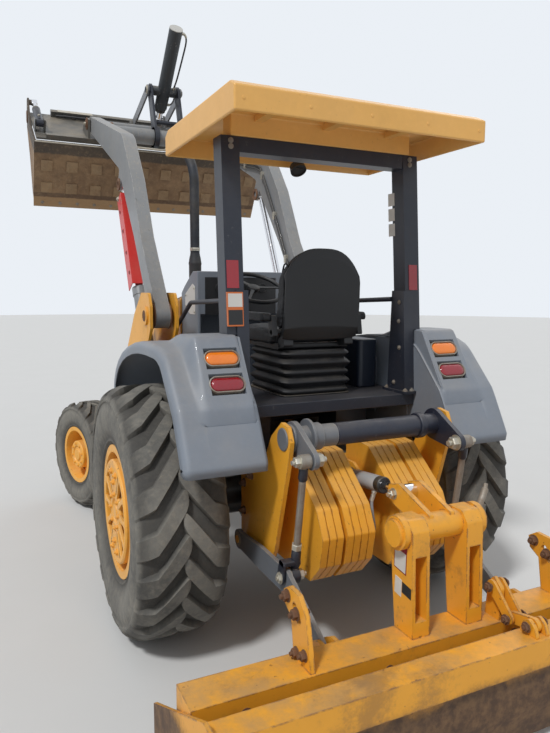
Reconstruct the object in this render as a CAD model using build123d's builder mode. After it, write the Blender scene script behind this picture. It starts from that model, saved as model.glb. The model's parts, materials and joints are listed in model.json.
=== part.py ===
from build123d import *
import math
import os

os.makedirs("parts", exist_ok=True)

# Millimetres. X runs to the machine's right, Y forward, Z up from the ground.
# Points in side view are (forward of the rear axle, height above the ground).
rear_axle_y = -969.487
wheelbase = 2080

# Wheels
rear_tyre_radius = 625
rear_tyre_width = 430
rear_track = 1640
rear_seat_radius = 305
rear_flange_radius = 330
rear_rim_width = 360
front_tyre_radius = 415
front_tyre_width = 285
front_track = 1610
front_seat_radius = 203
front_flange_radius = 222
front_rim_width = 240
flange_thickness = 12
rim_wall = 12
disc_thickness = 14
hub_radius = 75
hand_holes = 8
clamp_count = 8
clamp_radius = 13
steer_angle = 16
kingpin_x = 700

# Fits
pin_gap = 0.4
face_gap = 0.5

# Chassis
rail_inner = 290
rail_thickness = 30
rail_bottom = 560
rail_top = 800
rail_back = 400
rail_front = wheelbase + 360
case_half_width = 210
axle_tube_radius = 95
hub_face = 600
tow_reach = 130
tow_height = 690
tow_hole_radius = 20

# Loader arms
arm_x = 545
arm_width = 90
boom_pivot = (801, 1558)
boom_tip = (2884, 3170)
boom_pivot_radius = 78
boom_tip_radius = 62
boom_pin_radius = 30
tip_pin_radius = 26
torque_tube = (2444, 3010)
torque_tube_radius = 65
nose_tube = (2774, 3140)
nose_tube_radius = 42
tower_plate = 18
tower_gap = 72
pin_boss = 12
ear_thickness = 13
knee_root = (1628, 2613)

# Lift cylinders
lift_base = (907, 850)
lift_top = (1709, 2481)
lift_barrel_radius = 46
lift_collar = 5
lift_rod_radius = 27
lift_barrel_length = 980
lift_rod_start = 860
lift_pin_radius = 25
lift_eye_radius = 48

# Bucket linkage
lever_top = (2584, 3440)
link_end = (3164, 3270)
rod_anchor = (2784, 3250)
bucket_barrel_radius = 55
bucket_rod_radius = 28
trunnion_radius = 24
trunnion_to_cap = 560
trunnion_to_gland = 150
lever_x = 110
lever_thickness = 20
link_thickness = 16
anchor_x = 38

# Bucket, in its own level frame with the hinge at zero, turned down to its dumped pose
dump_angle = -60
bucket_half_width = 1065
back_face = 125
plate = 16
bucket_top = 580
bucket_floor = -120
cutting_edge = 740
clam_pivot = (150, 520)
clam_pivot_radius = 25
clam_base = (55, 60)
clam_pin = (30, 560)
clam_cylinder_x = bucket_half_width - 62
clam_barrel_radius = 34
clam_rod_radius = 18
clam_barrel_length = 330
clam_eye_half = 24
pad_count = 10
pad_size = 95

# Rear hitch
rock_axis = (-720, 1090)
rock_tube_radius = 50
rock_arm_end = (-890, 1035)
rock_pin_radius = 14
lift_rod_foot = (-810, 520)
link_front = (-300, 500)
link_rear = (-1130, 360)
link_pin_radius = 18
lower_link_x = 448
lower_link_thickness = 20
side_plate_x = 410
side_plate_thickness = 20
top_link_front = (-540, 836)
top_link_rear = (-1010, 889)
top_barrel_radius = 37
top_rod_radius = 18
top_barrel_length = 320
mast_ear_x = 40
blade_half_width = 1060
column_inner = 90
column_width = 80
column_wall = 14


# Sketch plane seen from the right side, at x
def side_plane(x):
    return Plane(origin=(x, rear_axle_y, 0), x_dir=(0, 1, 0), z_dir=(1, 0, 0))


# Sketch plane seen from above, at height z
def top_plane(z):
    return Plane(origin=(0, rear_axle_y, z))


# Plane at one side-view point whose normal aims at another, for cylinders and rods
def aim_plane(x, start, end):
    return Plane(origin=(x, rear_axle_y + start[0], start[1]), x_dir=(1, 0, 0),
                 z_dir=(0, end[0] - start[0], end[1] - start[1]))


# Flat plate with a polygon outline in side view, from x over a width
def side_polygon(points, x, width, radius=0, mode=Mode.ADD):
    with BuildSketch(side_plane(x)) as outline:
        with BuildLine():
            Polyline(*points, close=True)
        make_face()
        if radius:
            fillet(outline.vertices(), radius)
    extrude(outline.sketch, amount=width, mode=mode)


# Round bar along X, from x over a width, at a side-view point
def cross_bar(x, width, point, radius, mode=Mode.ADD):
    with BuildSketch(side_plane(x)) as outline:
        with Locations(point):
            Circle(radius)
    extrude(outline.sketch, amount=width, mode=mode)


# Rectangular block between two corners
def block(x_range, y_range, z_range, mode=Mode.ADD, radius=0):
    with BuildSketch(top_plane(z_range[0])) as outline:
        with Locations(((x_range[0] + x_range[1]) / 2, (y_range[0] + y_range[1]) / 2)):
            Rectangle(x_range[1] - x_range[0], y_range[1] - y_range[0])
        if radius:
            fillet(outline.vertices(), radius)
    extrude(outline.sketch, amount=z_range[1] - z_range[0], mode=mode)


# Round bar along an aimed plane, between two distances from its origin
def aimed_bar(plane, start, end, radius, mode=Mode.ADD):
    with BuildSketch(plane.offset(start)) as outline:
        Circle(radius)
    extrude(outline.sketch, amount=end - start, mode=mode)


# Flat bar with round ends between two side-view points
def round_link(start, end, half_height, x, width, mode=Mode.ADD):
    length = math.dist(start, end)
    angle = math.degrees(math.atan2(end[1] - start[1], end[0] - start[0]))
    middle = ((start[0] + end[0]) / 2, (start[1] + end[1]) / 2)
    with BuildSketch(side_plane(x)) as outline:
        with Locations(Location((middle[0], middle[1], 0), (0, 0, angle))):
            SlotCenterToCenter(length, 2 * half_height)
    extrude(outline.sketch, amount=width, mode=mode)


def distance(start, end):
    return math.dist(start, end)


# Point on the bucket, from its level frame to the side view of the machine
def on_bucket(point):
    turn = math.radians(dump_angle)
    return (boom_tip[0] + point[0] * math.cos(turn) - point[1] * math.sin(turn),
            boom_tip[1] + point[0] * math.sin(turn) + point[1] * math.cos(turn))


def save(builder, name):
    builder.part.label = name
    export_step(builder.part, f"parts/{name}.step")
    print(name, len(builder.part.solids()), round(builder.part.volume / 1e6, 2))


# Wheels: each is a section turned round its axle
def wheel_section(center, outward):
    return Plane(origin=center, x_dir=outward, z_dir=Vector(*outward).cross(Vector(0, 0, 1)))


def turned(section, points, axis, mode=Mode.ADD):
    with BuildSketch(section) as outline:
        with BuildLine():
            Polyline(*points, close=True)
        make_face()
    revolve(outline.sketch, axis=axis, mode=mode)


# name, side, y, tyre radius, tyre width, seat radius, flange radius, rim width, disc offset, hub start, steer
wheel_table = []
for side_name, side in (("left", -1), ("right", 1)):
    wheel_table.append((f"rear_{side_name}", side, 0, rear_tyre_radius, rear_tyre_width,
                        rear_seat_radius, rear_flange_radius, rear_rim_width, -60,
                        hub_face + face_gap - rear_track / 2, 0))
    wheel_table.append((f"front_{side_name}", side, wheelbase, front_tyre_radius, front_tyre_width,
                        front_seat_radius, front_flange_radius, front_rim_width, 20, -16, steer_angle))


# Centre and outward direction of a wheel, with steered wheels swung about their kingpins
def wheel_pose(side, y, track, radius, steer):
    turn = math.radians(steer)
    outward = (side * math.cos(turn), side * math.sin(turn), 0)
    if steer == 0:
        return (side * track / 2, rear_axle_y + y, radius), outward
    reach = track / 2 - kingpin_x
    center = (side * kingpin_x + outward[0] * reach, rear_axle_y + y + outward[1] * reach, radius)
    return center, outward


for (name, side, y, radius, width, seat, flange, rim_width,
     disc_offset, hub_start, steer) in wheel_table:
    track = rear_track if steer == 0 else front_track
    center, outward = wheel_pose(side, y, track, radius, steer)
    section = wheel_section(center, outward)
    axle = Axis(center, outward)
    bead = rim_width / 2 - flange_thickness
    half = width / 2
    tread = half - 18
    with BuildPart() as tyre:
        right_side = [(bead, seat), (bead, flange + 4), (half - 14, flange + 40),
                      (half, (flange + radius) / 2 + 10), (half - 4, radius - 70),
                      (tread, radius - 18), (tread - 30, radius)]
        turned(section, right_side + [(-a, r) for a, r in reversed(right_side)], axle)
    save(tyre, f"{name}_tyre")

    with BuildPart() as rim:
        rim_side = [(rim_width / 2, seat - rim_wall), (rim_width / 2, flange),
                    (bead, flange), (bead, seat)]
        turned(section, rim_side + [(-a, r) for a, r in reversed(rim_side)], axle)
        disc_inner = disc_offset - disc_thickness
        turned(section, [(disc_inner, 60), (disc_offset, 60), (disc_offset, seat - 70),
                         (disc_offset - 34, seat - rim_wall), (disc_offset - 54, seat - rim_wall),
                         (disc_inner - 6, seat - 76)], axle)
        turned(section, [(hub_start, 0), (hub_start, hub_radius), (disc_offset + 18, hub_radius),
                         (disc_offset + 40, hub_radius - 20), (disc_offset + 40, 0)], axle)
        # Hand holes through the disc's flat ring, and clamp bosses where it meets the rim
        disc_plane = Plane(origin=center, x_dir=(0, 0, 1), z_dir=outward)
        ring_width = seat - 70 - hub_radius
        with BuildSketch(disc_plane.offset(disc_inner - 1)):
            with PolarLocations(hub_radius + ring_width / 2, hand_holes):
                Circle(ring_width / 5)
        extrude(amount=disc_thickness + 2, mode=Mode.SUBTRACT)
        with BuildSketch(disc_plane.offset(disc_offset - 20)):
            with PolarLocations(seat - 56, clamp_count, start_angle=180 / clamp_count):
                Circle(clamp_radius)
        extrude(amount=30)
    save(rim, f"{name}_rim")

# Steering knuckles, made straight ahead in a plane that is swung about the kingpin
axle_height = front_tyre_radius
beam_height = 60
tie_offset = 145
tie_inset = 121
for side_name, side in (("left", -1), ("right", 1)):
    pin_center = (side * kingpin_x, rear_axle_y + wheelbase, 0)
    turn = math.radians(steer_angle)
    swung = Plane(origin=pin_center, x_dir=(math.cos(turn), math.sin(turn), 0), z_dir=(0, 0, 1))
    reach = front_track / 2 - kingpin_x - 16 - face_gap
    with BuildPart() as knuckle:
        for low, high in ((axle_height - 84, axle_height - beam_height - face_gap),
                          (axle_height + beam_height + face_gap, axle_height + 84)):
            with BuildSketch(swung.offset(low)) as cheek:
                Circle(46)
                with Locations((side * 33, 0)):
                    Rectangle(66, 80)
            extrude(cheek.sketch, amount=high - low)
        with BuildSketch(swung.offset(axle_height - 84)) as web:
            with Locations((side * (60 + reach) / 2, 0)):
                Rectangle(reach - 60, 80)
        extrude(web.sketch, amount=168)
        with BuildSketch(swung.offset(axle_height - 84)) as steer_arm:
            with BuildLine():
                Polyline((side * 18, 0), (side * (18 - tie_inset), -tie_offset),
                         (side * (-18 - tie_inset), -tie_offset), (side * -18, 0), close=True)
            make_face()
            with Locations((-side * tie_inset, -tie_offset)):
                Circle(26)
        extrude(steer_arm.sketch, amount=20)
    save(knuckle, f"steering_knuckle_{side_name}")

tie_top = axle_height - 84 - face_gap
tie_ends = []
for side in (-1, 1):
    turn = math.radians(steer_angle)
    tie_ends.append((side * (kingpin_x - tie_inset * math.cos(turn)) + tie_offset * math.sin(turn),
                     rear_axle_y + wheelbase - side * tie_inset * math.sin(turn) - tie_offset * math.cos(turn)))
with BuildPart() as tie_rod:
    for end_x, end_y in tie_ends:
        with BuildSketch(Plane(origin=(end_x, end_y, tie_top - 26))) as end:
            Circle(20)
        extrude(end.sketch, amount=26)
    start = Vector(tie_ends[0][0], tie_ends[0][1], tie_top - 14)
    run = Vector(tie_ends[1][0], tie_ends[1][1], tie_top - 14) - start
    with BuildSketch(Plane(origin=start, z_dir=run)) as bar:
        Circle(12)
    extrude(bar.sketch, amount=run.length)
save(tie_rod, "tie_rod")

# Front axle beam, with a pivot pad under the frame's bolster
with BuildPart() as front_axle:
    beam = [(-kingpin_x, axle_height - 50), (kingpin_x, axle_height - 50), (kingpin_x, axle_height + 50),
            (200, axle_height + 90), (110, rail_bottom), (-110, rail_bottom), (-200, axle_height + 90),
            (-kingpin_x, axle_height + 50)]
    with BuildSketch(Plane(origin=(0, rear_axle_y + wheelbase + 45, 0), x_dir=(1, 0, 0), z_dir=(0, -1, 0))) as face:
        with BuildLine():
            Polyline(*beam, close=True)
        make_face()
    extrude(face.sketch, amount=90)
    for side in (-1, 1):
        with BuildSketch(Plane(origin=(side * kingpin_x, rear_axle_y + wheelbase, axle_height - beam_height))) as eye:
            Circle(46)
        extrude(eye.sketch, amount=2 * beam_height)
save(front_axle, "front_axle")

# Chassis frame: two rails, a front bolster and a cross member
with BuildPart() as frame:
    for side in (-1, 1):
        low = min(side * rail_inner, side * (rail_inner + rail_thickness))
        side_polygon([(rail_back, rail_bottom + 60), (900, rail_bottom), (rail_front - 60, rail_bottom),
                      (rail_front, rail_bottom + 80), (rail_front, rail_top), (rail_back, rail_top)],
                     low, rail_thickness)
    block((-rail_inner, rail_inner), (wheelbase - 170, wheelbase + 170), (rail_bottom, rail_top - 60))
    block((-rail_inner, rail_inner), (rail_front - 40, rail_front), (rail_bottom + 80, rail_top))
    block((-rail_inner - rail_thickness, rail_inner + rail_thickness), (rail_front, rail_front + 60),
          (rail_bottom + 40, rail_top + 20), radius=20)
    # Tow eye on the front bumper
    block((-60, 60), (rail_front + 60, rail_front + tow_reach + 50), (tow_height - 20, tow_height + 20), radius=45)
    with BuildSketch(top_plane(tow_height - 20)) as tow_hole:
        with Locations((0, rail_front + tow_reach)):
            Circle(tow_hole_radius)
    extrude(tow_hole.sketch, amount=40, mode=Mode.SUBTRACT)
save(frame, "frame")

engine_length = 720
engine_front = wheelbase - 180
engine_back = engine_front - engine_length
with BuildPart() as engine:
    block((-250, 250), (engine_back, engine_front), (rail_top - 120, 1380), radius=40)
    for side in (-1, 1):
        low = min(side * 250, side * rail_inner)
        block((low, low + rail_inner - 250), (1450, 1600), (rail_top - 100, rail_top - 20))
save(engine, "engine")

# Transmission and rear axle
with BuildPart() as transaxle:
    side_polygon([(-330, 430), (250, 430), (420, 480), (engine_back, 500), (engine_back, 860),
                  (420, 880), (-330, 880)], -case_half_width, 2 * case_half_width)
    cross_bar(-hub_face, 2 * hub_face, (0, rear_tyre_radius), axle_tube_radius)
    for side in (-1, 1):
        low = min(side * case_half_width, side * (case_half_width + 90))
        cross_bar(low, 90, (0, rear_tyre_radius), 175)
        low = min(side * case_half_width, side * rail_inner)
        block((low, low + rail_inner - case_half_width), (520, 700), (640, 760))
save(transaxle, "transaxle")

# Loader towers: two plates each side of the arm and cylinder, on the frame rail
tower_outline = [(801, 600), (1256, 600), (1366, 760), (1366, 1300), (1116, 1560), (916, 1700), (746, 1700),
                 (701, 1620), (701, 1480), (801, 1350)]
for side_name, side in (("left", -1), ("right", 1)):
    with BuildPart() as tower:
        for inner_x in (arm_x - tower_gap - tower_plate, arm_x + tower_gap):
            low = min(side * inner_x, side * (inner_x + tower_plate))
            side_polygon(tower_outline, low, tower_plate, radius=30)
        inside = side * (arm_x - tower_gap)
        outside = side * (arm_x + tower_gap)
        low, high = min(inside, outside), max(inside, outside)
        side_polygon([(803, 640), (823, 640), (823, 1380), (803, 1380)], low, high - low)
        side_polygon([(826, 602), (1236, 602), (1236, 626), (826, 626)], low, high - low)
        cross_bar(low, high - low, boom_pivot, boom_pin_radius)
        cross_bar(low, high - low, lift_base, lift_pin_radius)
        # Pin bosses on the outer plate
        low = min(side * (arm_x + tower_gap + tower_plate), side * (arm_x + tower_gap + tower_plate + pin_boss))
        cross_bar(low, pin_boss, boom_pivot, boom_pin_radius + 28)
        cross_bar(low, pin_boss, lift_base, lift_pin_radius + 24)
        foot_in = side * (rail_inner + rail_thickness)
        foot_out = side * (arm_x - tower_gap - tower_plate)
        low, high = min(foot_in, foot_out), max(foot_in, foot_out)
        side_polygon([(816, 620), (1236, 620), (1236, 780), (816, 780)], low, high - low)
    save(tower, f"loader_tower_{side_name}")

# Boom: two knee-shaped arms, a torque tube, a nose tube and the rod's anchor plates
arm_outline = [(739, 1606), (1090, 2063), (1298, 2455), (1557, 2783), (1628, 2828), (2871, 3232),
               (2908, 3112), (1719, 2601), (1645, 2511), (1274, 2072), (869, 1517)]
with BuildPart() as boom:
    for side in (-1, 1):
        low = side * arm_x - arm_width / 2
        side_polygon(arm_outline, low, arm_width)
        cross_bar(low, arm_width, boom_pivot, boom_pivot_radius)
        cross_bar(low, arm_width, boom_tip, boom_tip_radius)
        cross_bar(low, arm_width, boom_pivot, boom_pin_radius + pin_gap, mode=Mode.SUBTRACT)
        cross_bar(low, arm_width, boom_tip, tip_pin_radius + pin_gap, mode=Mode.SUBTRACT)
        # Ears under the knee for the lift rod's eye
        for ear_x in (side * arm_x - arm_width / 2, side * arm_x + arm_width / 2 - ear_thickness):
            round_link(knee_root, lift_top, 46, ear_x, ear_thickness)
        # Pocket that the lift rod's eye works in
        pocket = arm_width / 2 - ear_thickness
        cross_bar(side * arm_x - pocket, 2 * pocket, lift_top, lift_eye_radius + 34, mode=Mode.SUBTRACT)
    inner = arm_x - arm_width / 2
    cross_bar(-inner, 2 * inner, torque_tube, torque_tube_radius)
    cross_bar(-inner, 2 * inner, nose_tube, nose_tube_radius)
    for side in (-1, 1):
        low = min(side * anchor_x, side * (anchor_x + 18))
        round_link(nose_tube, rod_anchor, 38, low, 18)
save(boom, "boom")

# Lift cylinders, each a barrel pinned in its tower and a rod with its eye under the knee
for side_name, side in (("left", -1), ("right", 1)):
    aim = aim_plane(side * arm_x, lift_base, lift_top)
    reach = distance(lift_base, lift_top)
    with BuildPart() as barrel:
        cross_bar(side * arm_x - 40, 80, lift_base, lift_eye_radius)
        aimed_bar(aim, 20, lift_barrel_length, lift_barrel_radius)
        aimed_bar(aim, lift_barrel_length - 60, lift_barrel_length, lift_barrel_radius + lift_collar)
        cross_bar(side * arm_x - 60, 120, lift_base, lift_pin_radius + pin_gap, mode=Mode.SUBTRACT)
        aimed_bar(aim, 120, lift_barrel_length, lift_rod_radius + pin_gap, mode=Mode.SUBTRACT)
    save(barrel, f"lift_barrel_{side_name}")
    with BuildPart() as rod:
        aimed_bar(aim, lift_rod_start, reach - 30, lift_rod_radius)
        eye_half = arm_width / 2 - ear_thickness - pin_gap
        cross_bar(side * arm_x - eye_half, 2 * eye_half, lift_top, lift_eye_radius)
        cross_bar(side * arm_x - 40, 80, lift_top, lift_pin_radius + pin_gap, mode=Mode.SUBTRACT)
    save(rod, f"lift_rod_{side_name}")

# Lift lock: a channel wide enough for the barrel, with an end plate round the left rod
lock_aim = aim_plane(-arm_x, lift_base, lift_top)
lock_start = lift_barrel_length + 6
lock_end = distance(lift_base, lift_top) - lift_eye_radius - 60
lock_inner = lift_barrel_radius + lift_collar + 4
lock_outer = lock_inner + 6
with BuildPart() as lock:
    with BuildSketch(lock_aim.offset(lock_start)) as channel:
        Rectangle(2 * lock_outer, 2 * lock_outer)
        with Locations((0, lock_outer - lock_inner)):
            Rectangle(2 * lock_inner, 2 * lock_outer, mode=Mode.SUBTRACT)
    extrude(channel.sketch, amount=lock_end - lock_start)
    with BuildSketch(lock_aim.offset(lock_end - 10)) as end_plate:
        Rectangle(2 * lock_outer, 2 * lock_outer)
        Circle(lift_rod_radius + pin_gap, mode=Mode.SUBTRACT)
    extrude(end_plate.sketch, amount=10)
save(lock, "lift_lock")

# Bucket levers on the torque tube, joined by a tie
lever_angle = math.atan2(lever_top[1] - torque_tube[1], lever_top[0] - torque_tube[0])
with BuildPart() as levers:
    for side in (-1, 1):
        low = min(side * lever_x, side * (lever_x + lever_thickness))
        round_link(torque_tube, lever_top, 52, low, lever_thickness)
        cross_bar(low - 10, lever_thickness + 20, torque_tube, torque_tube_radius + 26)
        cross_bar(low - 20, lever_thickness + 40, torque_tube, torque_tube_radius + pin_gap, mode=Mode.SUBTRACT)
        cross_bar(low, lever_thickness, lever_top, trunnion_radius + pin_gap, mode=Mode.SUBTRACT)
    tie_at = (torque_tube[0] + 150 * math.cos(lever_angle), torque_tube[1] + 150 * math.sin(lever_angle))
    cross_bar(-lever_x, 2 * lever_x, tie_at, 18)
save(levers, "bucket_levers")

with BuildPart() as links:
    for side in (-1, 1):
        start = lever_x + lever_thickness + 5
        low = min(side * start, side * (start + link_thickness))
        round_link(lever_top, link_end, 42, low, link_thickness)
        cross_bar(low, link_thickness, lever_top, trunnion_radius + pin_gap, mode=Mode.SUBTRACT)
        cross_bar(low, link_thickness, link_end, tip_pin_radius, mode=Mode.SUBTRACT)
save(links, "bucket_links")

# Bucket cylinder, carried at its trunnions in the lever tops
bucket_aim = aim_plane(0, lever_top, rod_anchor)
anchor_reach = distance(lever_top, rod_anchor)
with BuildPart() as bucket_barrel:
    aimed_bar(bucket_aim, -trunnion_to_cap, trunnion_to_gland, bucket_barrel_radius)
    aimed_bar(bucket_aim, trunnion_to_gland, trunnion_to_gland + 36, bucket_barrel_radius - 10)
    trunnion_reach = lever_x + lever_thickness + 5 + link_thickness + 12
    cross_bar(-trunnion_reach, 2 * trunnion_reach, lever_top, trunnion_radius)
    cross_bar(-lever_x + 4, 2 * lever_x - 8, lever_top, trunnion_radius + 16)
    aimed_bar(bucket_aim, -trunnion_to_cap + 40, trunnion_to_gland + 36, bucket_rod_radius + pin_gap,
              mode=Mode.SUBTRACT)
save(bucket_barrel, "bucket_barrel")

with BuildPart() as bucket_rod:
    aimed_bar(bucket_aim, -trunnion_to_cap + 60, anchor_reach - 20, bucket_rod_radius)
    cross_bar(pin_gap - anchor_x, 2 * (anchor_x - pin_gap), rod_anchor, 36)
save(bucket_rod, "bucket_rod")


# Plate on the bucket, its outline in the bucket's own level frame
def bucket_polygon(points, x, width, mode=Mode.ADD):
    side_polygon([on_bucket(point) for point in points], x, width, mode=mode)


inner_half = bucket_half_width - 20
with BuildPart() as bucket_back:
    bucket_polygon([(back_face, bucket_floor + 10), (back_face + plate, bucket_floor + 10),
                    (back_face + plate, bucket_top), (back_face, bucket_top)], -inner_half, 2 * inner_half)
    bucket_polygon([(back_face - 30, bucket_floor + 10), (back_face, bucket_floor + 10),
                    (back_face, bucket_floor + 110), (back_face - 14, bucket_floor + 110)],
                   -inner_half + 80, 2 * inner_half - 160)
    bucket_polygon([(back_face - 50, bucket_top - 70), (back_face, bucket_top - 70),
                    (back_face, bucket_top), (back_face - 50, bucket_top)], 185 - inner_half, 2 * (inner_half - 185))
    for side in (-1, 1):
        # Hinge ears each side of the arm tip
        for inner_x in (arm_x - arm_width / 2 - 24, arm_x + arm_width / 2 + 6):
            low = min(side * inner_x, side * (inner_x + 18))
            bucket_polygon([(back_face, -100), (back_face, 230), (75, 190), (-46, 20), (-50, -40), (0, -60)],
                           low, 18)
        low = side * arm_x - arm_width / 2 - 6
        cross_bar(low, arm_width + 12, boom_tip, tip_pin_radius)
        # Ears that the links pull on
        start = lever_x + lever_thickness + 5 + link_thickness + pin_gap
        low = min(side * start, side * (start + 18))
        turn = math.radians(-dump_angle)
        delta = (link_end[0] - boom_tip[0], link_end[1] - boom_tip[1])
        ear = (delta[0] * math.cos(turn) - delta[1] * math.sin(turn),
               delta[0] * math.sin(turn) + delta[1] * math.cos(turn))
        bucket_polygon([(back_face, 120), (back_face, 420), (ear[0] - 20, ear[1] + 45),
                        (ear[0] - 45, ear[1]), (ear[0] - 20, ear[1] - 45)], low, 18)
        # End plates with the clam's pivots
        low = min(side * (inner_half - 16), side * inner_half)
        bucket_polygon([(back_face + plate, 380), (230, 470), (210, 570), (back_face + plate, bucket_top)], low, 16)
        bucket_polygon([(back_face, 30), (20, 30), (20, 100), (back_face, 120)],
                       min(side * (clam_cylinder_x - 48), side * (clam_cylinder_x - 36)), 12)
        bucket_polygon([(back_face, 30), (20, 30), (20, 100), (back_face, 120)],
                       min(side * (clam_cylinder_x + 36), side * inner_half), inner_half - clam_cylinder_x - 36)
        cross_bar(min(side * (clam_cylinder_x - 36), side * (clam_cylinder_x + 36)), 72, on_bucket(clam_base), 16)
        low = min(side * inner_half, side * (bucket_half_width + 8))
        cross_bar(low, bucket_half_width + 8 - inner_half, on_bucket(clam_pivot), clam_pivot_radius)
save(bucket_back, "bucket_back")

with BuildPart() as clam:
    seam = back_face + plate + 6
    bucket_polygon([(seam, bucket_floor - 6), (cutting_edge - 90, bucket_floor - 10), (cutting_edge, bucket_floor - 10),
                    (cutting_edge, bucket_floor - 2), (cutting_edge - 90, bucket_floor + 16),
                    (seam, bucket_floor + 12)], -bucket_half_width, 2 * bucket_half_width)
    # Two rows of wear pads under the floor
    pad_pitch = 2 * bucket_half_width / pad_count
    for row in (cutting_edge - 230, cutting_edge - 430):
        for index in range(pad_count):
            start = (index + 0.5) * pad_pitch - bucket_half_width - pad_size / 2
            bucket_polygon([(row, bucket_floor - 18), (row + pad_size, bucket_floor - 18),
                            (row + pad_size, bucket_floor), (row, bucket_floor)], start, pad_size)
    side_outline = [(seam, bucket_floor), (cutting_edge - 60, bucket_floor), (cutting_edge - 90, -40),
                    (420, 260), (260, 560), (150, 600), (clam_pin[0] - 10, 600), (clam_pin[0] - 40, 560),
                    (clam_pin[0] - 10, 520), (90, 440), (seam, 300)]
    for side in (-1, 1):
        low = min(side * (inner_half + 4), side * bucket_half_width)
        bucket_polygon(side_outline, low, 16)
        cross_bar(low - 1, 18, on_bucket(clam_pivot), clam_pivot_radius + pin_gap, mode=Mode.SUBTRACT)
        reach_in = clam_cylinder_x + clam_eye_half + pin_gap
        low = min(side * reach_in, side * (inner_half + 4))
        cross_bar(low, inner_half + 4 - reach_in, on_bucket(clam_pin), 24)
save(clam, "clam")

clam_reach = distance(clam_base, clam_pin)
with BuildPart() as clam_barrels:
    for side in (-1, 1):
        aim = aim_plane(side * clam_cylinder_x, on_bucket(clam_base), on_bucket(clam_pin))
        cross_bar(side * clam_cylinder_x - 30, 60, on_bucket(clam_base), 32)
        aimed_bar(aim, 15, clam_barrel_length, clam_barrel_radius)
        cross_bar(side * clam_cylinder_x - 40, 80, on_bucket(clam_base), 16 + pin_gap, mode=Mode.SUBTRACT)
        aimed_bar(aim, 60, clam_barrel_length, clam_rod_radius + pin_gap, mode=Mode.SUBTRACT)
save(clam_barrels, "clam_barrels")

with BuildPart() as clam_rods:
    for side in (-1, 1):
        aim = aim_plane(side * clam_cylinder_x, on_bucket(clam_base), on_bucket(clam_pin))
        aimed_bar(aim, 190, clam_reach - 20, clam_rod_radius)
        cross_bar(side * clam_cylinder_x - clam_eye_half, 2 * clam_eye_half, on_bucket(clam_pin), 30)
save(clam_rods, "clam_rods")

# Hood: a shell with its sides down to the rails, its grille and the dash cowl behind it
hood_half = 310
hood_back = 1150
hood_front = wheelbase + 250
hood_sheet = 14
slot_rows = 9
slot_low = 1020
slot_pitch = 34
lamp_x = 185
lamp_height = 1290
lamp_radius = 55
stack_x = -170
stack_y = 1240
stack_foot_radius = 44
with BuildPart() as hood:
    side_polygon([(hood_back, 900), (hood_front, 900), (hood_front, 1440), (hood_front - 90, 1530),
                  (hood_back, 1690)], -hood_half, 2 * hood_half)
    fillet(hood.edges().filter_by(Axis.Y, reverse=True).filter_by(lambda edge: edge.length > 300)
           .filter_by(lambda edge: abs(edge.center().X) > hood_half - 1)
           .filter_by(lambda edge: edge.center().Z > 1500), 60)
    side_polygon([(hood_back, 880), (hood_front, 880), (hood_front, 1430), (hood_front - 96, 1530 - hood_sheet - 4),
                  (hood_back, 1690 - hood_sheet)],
                 -hood_half + hood_sheet, 2 * (hood_half - hood_sheet), mode=Mode.SUBTRACT)
    with BuildSketch(Plane(origin=(stack_x, rear_axle_y + stack_y, 1600))) as stack_hole:
        Circle(stack_foot_radius + pin_gap)
    extrude(stack_hole.sketch, amount=150, mode=Mode.SUBTRACT)
    # Air slots through both sides beside the radiator
    for row in range(slot_rows):
        height = slot_low + row * slot_pitch
        block((-hood_half - 1, hood_half + 1), (hood_front - 380, hood_front - 110), (height, height + slot_pitch / 2),
              mode=Mode.SUBTRACT)
save(hood, "hood")

with BuildPart() as grille:
    block((-hood_half + 20, hood_half - 20), (hood_front, hood_front + 24), (rail_top + 20, 1420))
    for row in range(9):
        height = 900 + row * 54
        block((-hood_half + 60, hood_half - 60), (hood_front + 14, hood_front + 24), (height, height + 30),
              mode=Mode.SUBTRACT)
    block((-hood_half + 20, hood_half - 20), (hood_front - 60, hood_front), (rail_top, 898))
    # Two round headlamps in raised rings
    lamp_face = Plane(origin=(0, rear_axle_y + hood_front + 24, lamp_height), x_dir=(-1, 0, 0), z_dir=(0, 1, 0))
    for start, radius, amount, mode in ((-4, lamp_radius + 10, 20, Mode.ADD), (4, lamp_radius, 12, Mode.SUBTRACT)):
        with BuildSketch(lamp_face.offset(start)):
            with Locations((-lamp_x, 0), (lamp_x, 0)):
                Circle(radius)
        extrude(amount=amount, mode=mode)
save(grille, "grille")

cowl_half = 300
cowl_back = 800
with BuildPart() as cowl:
    side_polygon([(cowl_back, 970), (hood_back, 970), (hood_back, 1700), (1080, 1745),
                  (900, 1838), (cowl_back, 1838)], -cowl_half, 2 * cowl_half)
    side_polygon([(cowl_back - 10, 1000), (1100, 1000), (1100, 1560), (cowl_back - 10, 1560)],
                 -cowl_half + 20, 2 * cowl_half - 40, mode=Mode.SUBTRACT)
save(cowl, "cowl")

# Operator's platform: foot floor, seat deck, riser and steps
deck_top = 1180
floor_top = 970
with BuildPart() as platform:
    block((-500, 500), (300, 790), (floor_top - 30, floor_top))
    block((-arm_x + tower_gap + tower_plate, arm_x - tower_gap - tower_plate), (790, hood_back),
          (floor_top - 30, floor_top))
    block((-500, 500), (290, 310), (floor_top - 30, deck_top - 20))
    block((-500, 500), (-380, 310), (deck_top - 20, deck_top))
    block((-500, 500), (-400, -380), (deck_top - 60, deck_top))
    for side in (-1, 1):
        low = min(side * 200, side * 400)
        block((low, low + 200), (-100, 100), (880, deck_top - 20))
save(platform, "platform")

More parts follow.
